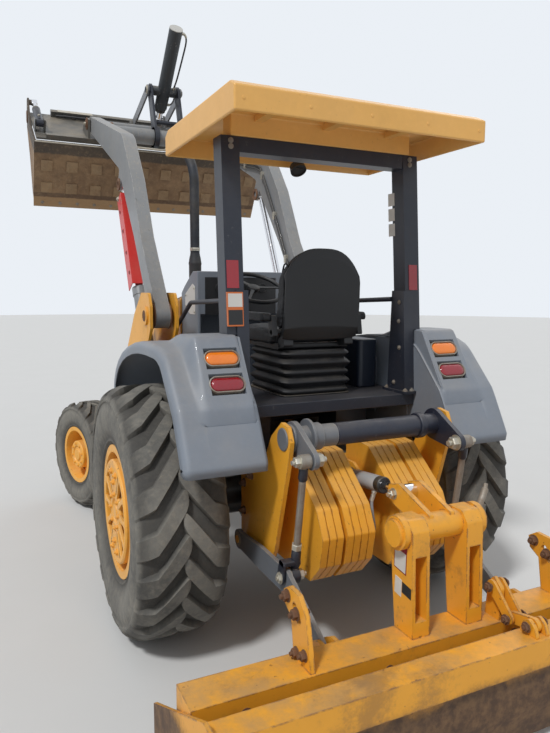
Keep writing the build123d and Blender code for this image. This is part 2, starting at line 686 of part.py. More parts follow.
# Fenders with raised lamp pods
fender_inner = 500
fender_outer = 865
outer_skin = [(730, 1040), (690, 1200), (560, 1330), (330, 1420), (60, 1465), (-300, 1470),
              (-420, 1420), (-600, 1225), (-725, 985)]
inner_skin = [(716, 1040), (678, 1194), (552, 1318), (326, 1407), (60, 1451), (-296, 1456),
              (-411, 1409), (-588, 1218), (-712, 985)]
lamp_rows = ((0.16, 0.46), (0.56, 0.86))
pod_low = (-603, 1237)
pod_high = (-430, 1515)
pod_left = 516
pod_right = 739


# Point along the pod's rear face, a share of the way up, moved in by a depth
def pod_point(share, depth):
    run = (pod_high[0] - pod_low[0], pod_high[1] - pod_low[1])
    length = math.hypot(*run)
    return (pod_low[0] + run[0] * share + depth * run[1] / length,
            pod_low[1] + run[1] * share - depth * run[0] / length)


for side_name, side in (("left", -1), ("right", 1)):
    with BuildPart() as fender:
        low = min(side * fender_inner, side * fender_outer)
        side_polygon(outer_skin + inner_skin[::-1], low, fender_outer - fender_inner)
        low = min(side * fender_inner, side * (fender_inner + 14))
        side_polygon([(560, 1325), (330, 1415), (60, 1460), (-300, 1465), (-420, 1412), (-595, 1222),
                      (-718, 990), (-560, 960), (560, 960)], low, 14)
        low = min(side * (fender_outer - 12), side * fender_outer)
        lip = [(y, z - 46) for y, z in outer_skin[1:-1]]
        side_polygon(outer_skin + [(-700, 985)] + lip[::-1] + [(700, 1040)], low, 12)
        # Turned band along the bottom edge
        low = min(side * fender_inner, side * fender_outer)
        side_polygon([(-712, 985), (-733, 985), (-736, 995), (-715, 1036), (-706, 1031), (-696, 1015)],
                     low, fender_outer - fender_inner)
        # Lamp pod and the shelf under it
        low = min(side * pod_left, side * pod_right)
        side_polygon([pod_low, pod_high, (-150, 1515), (-60, 1462), (-300, 1462), (-415, 1412)],
                     low, pod_right - pod_left)
        shelf_left = pod_left - 10
        low = min(side * shelf_left, side * (pod_right + 10))
        side_polygon([(-585, 1232), (-636, 1232), (-642, 1214), (-634, 1212), (-628, 1223), (-590, 1223)],
                     low, pod_right + 10 - shelf_left)
        for start, end in lamp_rows:
            low = min(side * (pod_left + 22), side * (pod_right - 22))
            side_polygon([pod_point(start - 0.02, -5), pod_point(end + 0.02, -5),
                          pod_point(end + 0.02, 24), pod_point(start - 0.02, 24)],
                         low, pod_right - pod_left - 44, mode=Mode.SUBTRACT)
    save(fender, f"fender_{side_name}")

lamp_names = ("tail_lamps", "turn_lamps")
for lamp_name, (start, end) in zip(lamp_names, lamp_rows):
    with BuildPart() as lamps:
        for side in (-1, 1):
            low = min(side * (pod_left + 34), side * (pod_right - 34))
            side_polygon([pod_point(start + 0.02, 4), pod_point(end - 0.02, 4),
                          pod_point(end - 0.02, 24), pod_point(start + 0.02, 24)],
                         low, pod_right - pod_left - 68)
    save(lamps, lamp_name)

# Roll-over posts, leaning forward, with a cross beam under the canopy
with BuildPart() as rops:
    for side in (-1, 1):
        low = min(side * 458, side * 548)
        side_polygon([(-370, 1515), (-270, 1515), (-200, 2420), (-300, 2420)], low, 90)
        low = min(side * 440, side * 500)
        side_polygon([(-400, deck_top), (-240, deck_top), (-262, 1720), (-365, 1720)], low, 60)
        low = min(side * 424, side * (fender_inner - 2))
        block((low, low + fender_inner - 426), (-420, -220), (deck_top, deck_top + 14))
    side_polygon([(-300, 2350), (-206, 2350), (-200, 2420), (-300, 2420)], -458, 916)
save(rops, "rops")

canopy_half = 640
with BuildPart() as canopy:
    side_polygon([(-700, 2420), (290, 2420), (290, 2520), (240, 2545), (-650, 2545), (-700, 2520)],
                 -canopy_half, 2 * canopy_half)
    block((-canopy_half + 16, canopy_half - 16), (-684, 274), (2400, 2420 + 100), mode=Mode.SUBTRACT)
    block((-500, 500), (-300, -200), (2420, 2520))
save(canopy, "canopy")

# Seat on its suspension bellows
with BuildPart() as seat_suspension:
    for row in range(5):
        grow = 14 if row % 2 else 0
        block((-200 - grow, 200 + grow), (-250 - grow, 190 + grow),
              (deck_top + row * 48, deck_top + (row + 1) * 48), radius=30)
save(seat_suspension, "seat_suspension")

seat_base = deck_top + 5 * 48
with BuildPart() as seat:
    side_polygon([(-200, seat_base), (220, seat_base), (250, seat_base + 60), (230, seat_base + 120),
                  (-150, seat_base + 105), (-200, 1920), (-240, 1950), (-290, 1930), (-300, seat_base + 120)],
                 -245, 490, radius=18)
    for side in (-1, 1):
        low = min(side * 245, side * 310)
        block((low, low + 65), (-230, 60), (1560, 1610), radius=20)
        low = min(side * 245, side * 275)
        block((low, low + 30), (-260, -200), (1480, 1600))
save(seat, "seat")

with BuildPart() as console:
    block((330, 456), (-120, 380), (deck_top, 1450), radius=30)
save(console, "console")

with BuildPart() as controls:
    for index in range(4):
        with BuildSketch(Plane(origin=(334 + index * 26, rear_axle_y + 120, 1450))) as stem:
            Circle(5)
        extrude(stem.sketch, amount=190)
        with BuildSketch(Plane(origin=(334 + index * 26, rear_axle_y + 120, 1630))) as knob:
            Circle(12)
        extrude(knob.sketch, amount=70)
save(controls, "control_levers")

# Steering wheel on its column
column_foot = (860, 1617)
column_head = (600, 1720)
with BuildPart() as steering_wheel:
    aimed_bar(aim_plane(0, column_foot, column_head), 0, distance(column_foot, column_head), 24)
    block((-60, 60), (cowl_back, cowl_back + 100), (1500, 1720), mode=Mode.SUBTRACT)
    hub = aim_plane(0, column_head, (column_head[0] - 84, column_head[1] + 156))
    aimed_bar(hub, -6, 30, 40)
    with BuildSketch(hub.offset(10)) as spokes:
        for angle in (0, 120, 240):
            with Locations(Rotation(0, 0, angle)):
                with Locations((90, 0)):
                    Rectangle(190, 24)
    extrude(spokes.sketch, amount=12)
    with BuildSketch(hub.offset(2)) as ring:
        Circle(200)
        Circle(172, mode=Mode.SUBTRACT)
    extrude(ring.sketch, amount=28)
save(steering_wheel, "steering_wheel")

# Exhaust stack through the hood, with a curved tip
with BuildPart() as exhaust:
    base = Plane(origin=(stack_x, rear_axle_y + stack_y, 1640))
    with BuildSketch(base) as foot:
        Circle(stack_foot_radius)
    extrude(foot.sketch, amount=260)
    with BuildSketch(base.offset(260)) as bulb:
        Circle(46)
    extrude(bulb.sketch, amount=70, taper=18)
    with BuildLine() as route:
        Line((stack_x, rear_axle_y + stack_y, 1900), (stack_x, rear_axle_y + stack_y, 2480))
        TangentArc((stack_x, rear_axle_y + stack_y, 2480), (stack_x - 30, rear_axle_y + stack_y + 70, 2650),
                   tangent=(0, 0, 1))
    with BuildSketch(Plane(origin=(stack_x, rear_axle_y + stack_y, 1900))) as pipe:
        Circle(33)
    sweep(pipe.sketch, path=route.line)
save(exhaust, "exhaust")

# Fuel tank and battery box beside the rails, each with a step
tank_inner = rail_inner + rail_thickness
tank_width = 158
for name, side in (("fuel_tank", -1), ("battery_box", 1)):
    with BuildPart() as box:
        low = min(side * tank_inner, side * (tank_inner + tank_width))
        block((low, low + tank_width), (300, 650), (500, 900))
        low = min(side * (tank_inner + tank_width), side * (tank_inner + tank_width + 110))
        block((low, low + 110), (330, 520), (500, 526))
    save(box, name)

# Hand rails from the posts forward to the foot floor
rail_tube = 13
rail_x = arm_x - tower_gap - tower_plate - rail_tube - 1
rail_route = [(-259.3, 1675), (500, 1645), (790, 1490), (930, 1290), (930, floor_top)]
with BuildPart() as handrails:
    for side in (-1, 1):
        with BuildLine() as route:
            FilletPolyline(*[(side * rail_x, rear_axle_y + y, z) for y, z in rail_route], radius=60)
        with BuildSketch(Plane(origin=route.line @ 0, z_dir=route.line % 0)) as tube:
            Circle(rail_tube)
        sweep(tube.sketch, path=route.line)
save(handrails, "handrails")

# Rear frame: side plates bolted to the axle case, carrying the hitch and the weights
with BuildPart() as rear_frame:
    for side in (-1, 1):
        low = min(side * side_plate_x, side * (side_plate_x + side_plate_thickness))
        side_polygon([(-250, 440), (-560, 440), (-640, 560), (-775, 1010), (-790, 1090), (-760, 1150),
                      (-700, 1160), (-600, 1080), (-480, 880), (-250, 880)], low, side_plate_thickness)
        cross_bar(low - 1, side_plate_thickness + 2, rock_axis, rock_tube_radius + pin_gap, mode=Mode.SUBTRACT)
        low = min(side * (side_plate_x + side_plate_thickness), side * 476)
        cross_bar(low, 476 - side_plate_x - side_plate_thickness, link_front, link_pin_radius)
        low = min(side * case_half_width, side * side_plate_x)
        block((low, low + side_plate_x - case_half_width), (-330, -250), (460, 860))
    block((-side_plate_x, side_plate_x), (-420, -330), (460, 880))
    for side in (-1, 1):
        low = min(side * 38, side * 54)
        side_polygon([(-420, 780), (-420, 890), (-540, 890), (-585, 860), (-585, 810), (-540, 780)], low, 16)
    cross_bar(-38, 76, top_link_front, 16)
save(rear_frame, "rear_frame")

weight_outline = [(-420, 470), (-800, 470), (-880, 560), (-905, 690), (-850, 800), (-620, 985), (-420, 1000)]
weight_pitch = 36
with BuildPart() as weights:
    for side in (-1, 1):
        for index in range(7):
            start = 72 + index * weight_pitch + (14 if index > 3 else 0)
            low = min(side * start, side * (start + 32))
            side_polygon(weight_outline, low, 32, radius=20)
        low = min(side * 72, side * 338)
        side_polygon([(-422, 600), (-460, 600), (-460, 700), (-422, 700)], low, 266)
save(weights, "counterweights")

# Rockshaft and its arms
with BuildPart() as rockshaft:
    cross_bar(-side_plate_x - side_plate_thickness - 6, 2 * (side_plate_x + side_plate_thickness + 6),
              rock_axis, rock_tube_radius)
    for side in (-1, 1):
        low = min(side * 365, side * 389)
        round_link(rock_axis, rock_arm_end, 40, low, 24)
        cross_bar(low, 24, rock_axis, 74)
        # Raised hub with its bore
        low = min(side * 389, side * 401)
        cross_bar(low, 12, rock_axis, 62)
        low = min(side * 393, side * 402)
        cross_bar(low, 9, rock_axis, 34, mode=Mode.SUBTRACT)
        low = min(side * 389, side * 441)
        cross_bar(low, 52, rock_arm_end, rock_pin_radius)
save(rockshaft, "rockshaft")

lift_length = distance(rock_arm_end, lift_rod_foot)
with BuildPart() as lift_rods:
    for side in (-1, 1):
        aim = aim_plane(side * 417, rock_arm_end, lift_rod_foot)
        aimed_bar(aim, 10, lift_length - 10, 15)
        low = min(side * 395, side * 439)
        cross_bar(low, 44, rock_arm_end, 30)
        cross_bar(low - 1, 46, rock_arm_end, rock_pin_radius + pin_gap, mode=Mode.SUBTRACT)
        low = min(side * 400, side * (lower_link_x - face_gap))
        cross_bar(low, lower_link_x - face_gap - 400, lift_rod_foot, 34)
save(lift_rods, "lift_rods")

with BuildPart() as lower_links:
    for side in (-1, 1):
        low = min(side * lower_link_x, side * (lower_link_x + lower_link_thickness))
        side_polygon([(-290, 460), (-290, 540), (-560, 560), (-830, 560), (-1140, 400), (-1168, 360),
                      (-1140, 320), (-800, 450), (-560, 450)], low, lower_link_thickness, radius=12)
        cross_bar(low, lower_link_thickness, link_front, 48)
        cross_bar(low, lower_link_thickness, link_front, link_pin_radius + pin_gap, mode=Mode.SUBTRACT)
        cross_bar(low, lower_link_thickness, link_rear, link_pin_radius + pin_gap, mode=Mode.SUBTRACT)
save(lower_links, "lower_links")

# Box blade: side plates, front and rear beams, moldboards, headstock and clevises
beam_low = 300
beam_high = 425
beam_front = -1185
beam_back = -1340
with BuildPart() as box_blade:
    for side in (-1, 1):
        low = min(side * blade_half_width, side * (blade_half_width - 14))
        side_polygon([(-930, 20), (-930, 200), (-1180, 330), (-1500, 500), (-1560, 500), (-1560, 20)], low, 14)
    inside = blade_half_width - 14
    side_polygon([(beam_front, beam_low), (beam_front, beam_high), (beam_back, beam_high), (beam_back, beam_low)],
                 -inside, 2 * inside)
    side_polygon([(-1450, 350), (-1450, 460), (-1550, 460), (-1550, 350)], -inside, 2 * inside)
    side_polygon([(-1470, 40), (-1510, 200), (-1500, 350), (-1520, 350), (-1530, 200), (-1490, 40)],
                 -inside, 2 * inside)
    for side in (-1, 1):
        # Column with a rounded top, open at the back between its walls, on a collared cross tube
        low = min(side * column_inner, side * (column_inner + column_width))
        side_polygon([(-1190, beam_high - 40), (-1300, beam_high - 40), (-1282, 830), (-1250, 872), (-1160, 872),
                      (-1140, 820)], low, column_width, radius=20)
        low = min(side * (column_inner + column_wall), side * (column_inner + column_width - column_wall))
        side_polygon([(-1212, beam_high + 60), (-1310, beam_high + 60), (-1300, 735), (-1190, 735)],
                     low, column_width - 2 * column_wall, mode=Mode.SUBTRACT)
        low = min(side * (column_inner + column_width), side * (column_inner + column_width + 26))
        cross_bar(low, 26, (-1210, 815), 66)
        low = min(side * mast_ear_x, side * (mast_ear_x + 22))
        side_polygon([(-1170, 800), (-1240, 800), (-1240, 870), (-1040, 940), (-975, 920), (-965, 870),
                      (-1010, 845)], low, 22, radius=8)
        for start in (lower_link_x - 30, lower_link_x + lower_link_thickness + 12):
            low = min(side * start, side * (start + 18))
            side_polygon([(-1090, 330), (-1090, 390), (-1150, 425), (beam_front, 425), (beam_front, 310), (-1120, 310)],
                         low, 18)
        low = min(side * (lower_link_x - 12), side * (lower_link_x + lower_link_thickness + 12))
        cross_bar(low, lower_link_thickness + 24, link_rear, link_pin_radius)
        # Hooked brace plate with its slot, and the clevis bar beside it
        low = min(side * 600, side * 618)
        side_polygon([(-1200, beam_high), (-1178, 560), (-1128, 590), (-1118, 640), (-1160, 668), (-1235, 664),
                      (-1290, 610), (-1330, beam_high)], low, 18)
        for hole in ((-1205, 610), (-1222, 592), (-1239, 574)):
            cross_bar(low - 1, 20, hole, 15, mode=Mode.SUBTRACT)
        cross_bar(low - 1, 20, (-1150, 628), 13, mode=Mode.SUBTRACT)
    cross_bar(-column_inner - column_width - 40, 2 * (column_inner + column_width + 40), (-1210, 815), 52)
save(box_blade, "box_blade")

# Top link cylinder
top_aim = aim_plane(0, top_link_front, top_link_rear)
top_reach = distance(top_link_front, top_link_rear)
with BuildPart() as top_barrel:
    cross_bar(-34, 68, top_link_front, 34)
    aimed_bar(top_aim, 15, top_barrel_length, top_barrel_radius)
    cross_bar(-40, 80, top_link_front, 16 + pin_gap, mode=Mode.SUBTRACT)
    aimed_bar(top_aim, 60, top_barrel_length, top_rod_radius + pin_gap, mode=Mode.SUBTRACT)
save(top_barrel, "top_link_barrel")

with BuildPart() as top_rod:
    aimed_bar(top_aim, 182, top_reach - 20, top_rod_radius)
    cross_bar(pin_gap - mast_ear_x, 2 * (mast_ear_x - pin_gap), top_link_rear, 32)
save(top_rod, "top_link_rod")
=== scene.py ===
import bpy
import bmesh
import json
import math
import numpy as np
from mathutils import Matrix, Vector

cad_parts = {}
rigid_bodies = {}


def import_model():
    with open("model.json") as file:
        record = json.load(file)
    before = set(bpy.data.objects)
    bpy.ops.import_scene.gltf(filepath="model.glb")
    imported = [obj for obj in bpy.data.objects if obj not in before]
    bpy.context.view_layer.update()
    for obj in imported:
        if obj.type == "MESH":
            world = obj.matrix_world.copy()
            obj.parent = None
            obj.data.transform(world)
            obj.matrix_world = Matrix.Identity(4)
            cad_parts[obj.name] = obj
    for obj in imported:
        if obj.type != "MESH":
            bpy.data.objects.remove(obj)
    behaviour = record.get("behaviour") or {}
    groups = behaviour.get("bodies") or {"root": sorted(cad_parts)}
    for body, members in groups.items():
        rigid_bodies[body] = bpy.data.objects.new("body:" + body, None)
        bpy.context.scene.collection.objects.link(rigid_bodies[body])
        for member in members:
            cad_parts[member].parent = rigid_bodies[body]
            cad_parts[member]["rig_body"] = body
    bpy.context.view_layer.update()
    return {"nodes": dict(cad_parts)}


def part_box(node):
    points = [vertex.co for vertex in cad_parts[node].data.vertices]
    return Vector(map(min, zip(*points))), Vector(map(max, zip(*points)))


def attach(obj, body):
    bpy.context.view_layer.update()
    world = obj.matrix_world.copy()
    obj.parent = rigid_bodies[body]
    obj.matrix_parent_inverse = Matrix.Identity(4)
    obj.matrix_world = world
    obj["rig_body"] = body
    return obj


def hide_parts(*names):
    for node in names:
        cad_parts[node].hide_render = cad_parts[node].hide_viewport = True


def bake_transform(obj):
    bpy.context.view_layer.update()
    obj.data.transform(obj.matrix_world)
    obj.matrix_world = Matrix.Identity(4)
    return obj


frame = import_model()
nodes = frame["nodes"]
print("frame loaded,", len(nodes), "nodes")

# Metres. X runs to the machine's right, Y forward and Z up; the side view is (forward of rear axle, height)
rearAxleY = (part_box("rear_left_tyre")[0].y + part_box("rear_left_tyre")[1].y) / 2
wheelBase = 2.08
steerTurn = math.radians(16)
dumpTurn = math.radians(-60)
sides = (-1, 1)
upward = (0, 0, 1)
rearward = (0, -1, 0)

# Side-view points where the loader's arms, its cylinders and the hitch turn
pins = {
    "armPivot": (0.801, 1.558), "armTip": (2.884, 3.170), "torqueTube": (2.444, 3.010),
    "liftBase": (0.907, 0.850), "liftTop": (1.709, 2.481), "lockBolt": (1.676, 2.372),
    "trunnion": (2.584, 3.440), "rodAnchor": (2.784, 3.250), "linkFront": (3.164, 3.270),
    "rockAxis": (-0.720, 1.090), "rockEnd": (-0.890, 1.035), "liftRodFoot": (-0.810, 0.520),
    "lowerFront": (-0.300, 0.500), "lowerRear": (-1.130, 0.360),
    "topFront": (-0.540, 0.836), "topRear": (-1.010, 0.889),
}


# Meshes


def sidePoint(x, forward, height):
    return np.array([x, rearAxleY + forward, height])


def unit(vector):
    return np.asarray(vector, float) / np.linalg.norm(vector)


# Direction square to a side-view one, pointing to the rear
def backOf(along):
    back = np.array([0, -along[2], along[1]])
    return back if back[1] < 0 else -back


def bodyOf(node):
    return nodes[node]["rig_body"]


# Quads between neighbours of a grid of points, wrapping where a direction is closed
def gridFaces(rows, columns, closeRows=False, closeColumns=False):
    i = np.arange(rows if closeRows else rows - 1)
    j = np.arange(columns if closeColumns else columns - 1)
    i, j = np.meshgrid(i, j, indexing="ij")
    nextI, nextJ = (i + 1) % rows, (j + 1) % columns
    quads = np.stack([i * columns + j, nextI * columns + j, nextI * columns + nextJ, i * columns + nextJ], -1)
    return quads.reshape(-1, 4).tolist()


# A grid of points as a shape, with its two end rings capped where asked
def gridShape(points, closeRows=False, closeColumns=False, caps=False):
    rows, columns = points.shape[:2]
    faces = gridFaces(rows, columns, closeRows, closeColumns)
    if caps:
        faces.append(list(range(columns)))
        faces.append([(rows - 1) * columns + k for k in reversed(range(columns))])
    return points.reshape(-1, 3), faces


# Rings of points, one after another, as one closed skin
def skinned(rings):
    return gridShape(np.stack(rings), closeColumns=True, caps=True)


def joined(shapes):
    points, faces, start = [], [], 0
    for shapePoints, shapeFaces in shapes:
        points.append(np.asarray(shapePoints, float).reshape(-1, 3))
        faces += [[start + k for k in face] for face in shapeFaces]
        start += len(points[-1])
    return np.concatenate(points), faces


# Corners rounded by replacing each with an arc-like run between the points radius away on both its sides
def rounded(outline, radius, steps=4):
    outline = np.asarray(outline, float)
    result = []
    for k, corner in enumerate(outline):
        before, after = outline[k - 1] - corner, outline[(k + 1) % len(outline)] - corner
        reach = min(radius, 0.48 * np.linalg.norm(before), 0.48 * np.linalg.norm(after))
        start = corner + before / np.linalg.norm(before) * reach
        end = corner + after / np.linalg.norm(after) * reach
        t = np.linspace(0, 1, steps + 1)[:, None]
        result.append((1 - t) ** 2 * start + 2 * t * (1 - t) * corner + t ** 2 * end)
    return np.concatenate(result)


# Outline in side view carried along X between two places, closed at both ends
def prism(outline, fromX, toX, radius=0):
    outline = rounded(outline, radius) if radius else np.asarray(outline, float)
    area = np.sum(outline[:, 0] * np.roll(outline[:, 1], -1) - np.roll(outline[:, 0], -1) * outline[:, 1])
    if area < 0:
        outline = outline[::-1]
    return skinned([np.column_stack([np.full(len(outline), x), outline[:, 0] + rearAxleY, outline[:, 1]])
                    for x in sorted((fromX, toX), reverse=True)])


# Two directions square to a given one
def crossDirections(along):
    along = unit(along)
    helper = np.array([0, 0, 1.0]) if abs(along[2]) < 0.9 else np.array([0, 1.0, 0])
    first = unit(np.cross(helper, along))
    return along, first, np.cross(along, first)


# Unit ring of points square to a direction
def ringAbout(along, around):
    along, first, second = crossDirections(along)
    angle = np.linspace(0, 2 * math.pi, around, endpoint=False)
    return along, np.cos(angle)[:, None] * first + np.sin(angle)[:, None] * second


# Profile of (distance along, radius) turned about an axis through a centre; radius 0 closes to a pole
def turned(profile, centre, along, around):
    profile = np.asarray(profile, float)
    along, ring = ringAbout(along, around)
    points = np.asarray(centre) + profile[:, 0][:, None, None] * along + profile[:, 1][:, None, None] * ring
    return gridShape(points, closeColumns=True)


# Ring along a path: at each station a circle square to the path, frames carried on without twist
def tube(path, radius, around=12, closed=False):
    path = np.asarray(path, float)
    tangent = np.roll(path, -1, 0) - np.roll(path, 1, 0) if closed else np.gradient(path, axis=0)
    tangent /= np.linalg.norm(tangent, axis=1)[:, None]
    normal = crossDirections(tangent[0])[1]
    normals = []
    for direction in tangent:
        normal = unit(normal - direction * np.dot(normal, direction))
        normals.append(normal)
    normals = np.array(normals)
    binormals = np.cross(tangent, normals)
    angle = np.linspace(0, 2 * math.pi, around, endpoint=False)[None, :, None]
    radius = np.broadcast_to(np.asarray(radius, float), (len(path),))[:, None, None]
    points = path[:, None] + radius * (np.cos(angle) * normals[:, None] + np.sin(angle) * binormals[:, None])
    return gridShape(points, closeRows=closed, closeColumns=True, caps=not closed)


# Smooth line through points: each stretch is a cubic whose end slopes come from the neighbours
def smoothLine(points, steps):
    points = np.asarray(points, float)
    padded = np.concatenate([2 * points[:1] - points[1:2], points, 2 * points[-1:] - points[-2:-1]])
    t = np.linspace(0, 1, steps, endpoint=False)[:, None]
    runs = [0.5 * (2 * b + (c - a) * t + (2 * a - 5 * b + 4 * c - d) * t ** 2 + (3 * b - 3 * c + d - a) * t ** 3)
            for a, b, c, d in zip(padded, padded[1:], padded[2:], padded[3:])]
    return np.concatenate(runs + [points[-1:]])


# Block between two corners given as (x, forward, height)
def blockShape(low, high):
    outline = [(low[1], low[2]), (high[1], low[2]), (high[1], high[2]), (low[1], high[2])]
    return prism(outline, low[0], high[0])


# Round bar between two points with small chamfers at its ends
def bar(start, end, radius, around=20, chamfer=0.0015):
    start, end = np.asarray(start, float), np.asarray(end, float)
    length = np.linalg.norm(end - start)
    profile = [(0, 0), (0, radius - chamfer), (chamfer, radius), (length - chamfer, radius),
               (length, radius - chamfer), (length, 0)]
    return turned(profile, start, end - start, around)


# Six-sided head or nut with a domed washer face and a round stub
def nut(centre, outward, width, height=None):
    height = height or width * 0.62
    along, ring = ringAbout(outward, 6)
    profile = [(0, 0.58), (height * 0.85, 0.58), (height, 0.5)]
    head = skinned([np.asarray(centre) + along * a + ring * width * r for a, r in profile])
    head = (head[0], [face[::-1] for face in head[1]])
    washer = turned([(0, 0), (0, width * 0.72), (0.003, width * 0.72), (0.003, 0)], centre, outward, 20)
    stub = turned([(height, 0), (height, width * 0.26), (height * 1.5, width * 0.26), (height * 1.5, 0)],
                  centre, outward, 12)
    return joined([head, washer, stub])


# Nut on a face square to X, facing side
def sideNut(x, point, side, width, height=None):
    return nut(sidePoint(x, *point), (side, 0, 0), width, height)


# The same nuts on both sides of the machine, at x to the right and left, facing outwards
def pairedNuts(x, points, width, height=None):
    return [sideNut(side * x, point, side, width, height) for side in sides for point in points]


# Ring with a bore between two places on X, about a side-view point
def collar(fromX, toX, point, outer, bore, chamfer=0.002, around=40):
    low, width = min(fromX, toX), abs(toX - fromX)
    profile = [(0, bore), (0, outer - chamfer), (chamfer, outer), (width - chamfer, outer),
               (width, outer - chamfer), (width, bore), (0, bore)]
    return turned(profile, sidePoint(low, *point), (1, 0, 0), around)


# Solid round between two places on X, its edges chamfered
def boss(fromX, toX, point, radius, chamfer=0.003, around=32):
    low, width = min(fromX, toX), abs(toX - fromX)
    profile = [(0, 0), (0, radius - chamfer), (chamfer, radius), (width - chamfer, radius),
               (width, radius - chamfer), (width, 0)]
    return turned(profile, sidePoint(low, *point), (1, 0, 0), around)


# A shape, or a list of them, made an object at the origin, its doubles merged and its faces turned outwards
def piece(name, shape, finish, body, smoothAngle=40, bevel=0, solid=0):
    points, faces = joined(shape) if isinstance(shape, list) else shape
    mesh = bpy.data.meshes.new(name)
    mesh.from_pydata(np.asarray(points).tolist(), [], faces)
    work = bmesh.new()
    work.from_mesh(mesh)
    bmesh.ops.remove_doubles(work, verts=work.verts, dist=1e-5)
    bmesh.ops.dissolve_degenerate(work, edges=work.edges, dist=1e-5)
    bmesh.ops.recalc_face_normals(work, faces=work.faces)
    work.to_mesh(mesh)
    work.free()
    return finished(name, mesh, finish, body, smoothAngle, bevel, solid)


def finished(name, mesh, finish, body, smoothAngle, bevel, solid=0):
    thing = bpy.data.objects.new(name, mesh)
    bpy.context.scene.collection.objects.link(thing)
    mesh.materials.append(finishes[finish])
    if solid:
        wall = thing.modifiers.new("wall", "SOLIDIFY")
        wall.thickness = solid
        wall.offset = -1
    if bevel:
        edges = thing.modifiers.new("edges", "BEVEL")
        edges.width = bevel
        edges.segments = 2
        edges.limit_method = "ANGLE"
        edges.angle_limit = math.radians(35)
        edges.harden_normals = True
    mesh.shade_smooth()
    mesh.set_sharp_from_angle(angle=math.radians(smoothAngle))
    if body:
        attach(thing, body)
    return thing


# A CAD node's copy with merged points, flat faces joined and its edges rounded, which takes the node's place
def softened(name, finish, bevel):
    source = nodes[name]
    mesh = source.data.copy()
    mesh.name = name + "_body"
    mesh.materials.clear()
    work = bmesh.new()
    work.from_mesh(mesh)
    bmesh.ops.remove_doubles(work, verts=work.verts, dist=2e-5)
    bmesh.ops.dissolve_limit(work, angle_limit=math.radians(1), verts=work.verts, edges=work.edges)
    work.to_mesh(mesh)
    work.free()
    thing = finished(name + "_body", mesh, finish, bodyOf(name), 40, bevel)
    thing.modifiers["edges"].use_clamp_overlap = True
    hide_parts(name)


# Shader wiring


# A node's output; arithmetic on it adds Math nodes
class Signal:
    def __init__(self, board, socket):
        self.board = board
        self.socket = socket

    def combine(self, operation, other, swapped=False):
        first, second = (other, self) if swapped else (self, other)
        return self.board.add("ShaderNodeMath", {"operation": operation}, {0: first, 1: second})

    def __add__(self, other):
        return self.combine("ADD", other)

    def __sub__(self, other):
        return self.combine("SUBTRACT", other)

    def __mul__(self, other):
        return self.combine("MULTIPLY", other)

    def __rsub__(self, other):
        return self.combine("SUBTRACT", other, swapped=True)

    __radd__ = __add__
    __rmul__ = __mul__

    def between(self, low, high):
        return self.board.add("ShaderNodeMapRange", {"interpolation_type": "SMOOTHSTEP"},
                              {0: self, 1: low, 2: high, 3: 0.0, 4: 1.0})


class Board:
    def __init__(self, name):
        self.material = bpy.data.materials.new(name)
        self.material.use_nodes = True
        self.tree = self.material.node_tree
        self.tree.nodes.clear()
        self.place = self.add("ShaderNodeTexCoord", {}, {}, output="Object")
        normal = self.add("ShaderNodeTexCoord", {}, {}, output="Normal")
        self.upward = self.add("ShaderNodeSeparateXYZ", {}, {0: normal}, output=2)

    def add(self, kind, settings, inputs, output=0):
        node = self.tree.nodes.new(kind)
        for key, value in settings.items():
            setattr(node, key, value)
        for key, value in inputs.items():
            if isinstance(value, Signal):
                self.tree.links.new(value.socket, node.inputs[key])
            else:
                if node.inputs[key].type == "RGBA" and len(value) == 3:
                    value = (*value, 1)
                node.inputs[key].default_value = value
        return Signal(self, node.outputs[output])

    def noise(self, scale, detail=4, roughness=0.55, stretch=None):
        place = self.add("ShaderNodeMapping", {}, {0: self.place, 3: stretch}) if stretch else self.place
        return self.add("ShaderNodeTexNoise", {},
                        {"Vector": place, "Scale": scale, "Detail": detail, "Roughness": roughness})

    def cells(self, scale):
        return self.add("ShaderNodeTexVoronoi", {}, {"Vector": self.place, "Scale": scale})

    # How far the rounded normal turns from the face's own, which is the case along bevelled edges
    def edges(self, radius, low, high):
        turn = self.add("ShaderNodeBevel", {"samples": 4}, {"Radius": radius})
        flat = self.add("ShaderNodeNewGeometry", {}, {}, output=1)
        match = self.add("ShaderNodeVectorMath", {"operation": "DOT_PRODUCT"}, {0: turn, 1: flat}, output=1)
        return (1.0 - match).between(low, high)

    # Distance from a side-view point along a side-view direction
    def measure(self, start, direction):
        direction = unit([0, *direction])
        dot = self.add("ShaderNodeVectorMath", {"operation": "DOT_PRODUCT"}, {0: self.place, 1: tuple(direction)},
                       output=1)
        return dot - float(sidePoint(0, *start) @ direction)

    def blend(self, share, first, second):
        return self.add("ShaderNodeMix", {"data_type": "RGBA"}, {0: share, 6: first, 7: second}, output=2)

    def height(self, amount, distance, strength):
        return self.add("ShaderNodeBump", {}, {"Height": amount, "Distance": distance, "Strength": strength})

    def surface(self, **sockets):
        inputs = {key.replace("_", " "): value for key, value in sockets.items()}
        shader = self.add("ShaderNodeBsdfPrincipled", {}, inputs)
        self.tree.links.new(shader.socket, self.tree.nodes.new("ShaderNodeOutputMaterial").inputs[0])
        return self.material


# Colours as Blender's linear values from display values of 0 to 255
def shade(red, green, blue):
    levels = [channel / 255 for channel in (red, green, blue)]
    return tuple(level / 12.92 if level <= 0.04045 else ((level + 0.055) / 1.055) ** 2.4 for level in levels)


def darker(tone, share):
    return tuple(channel * share for channel in tone)


dustTone = shade(176, 162, 140)
rustTone = shade(104, 66, 44)
earthTone = shade(120, 96, 70)


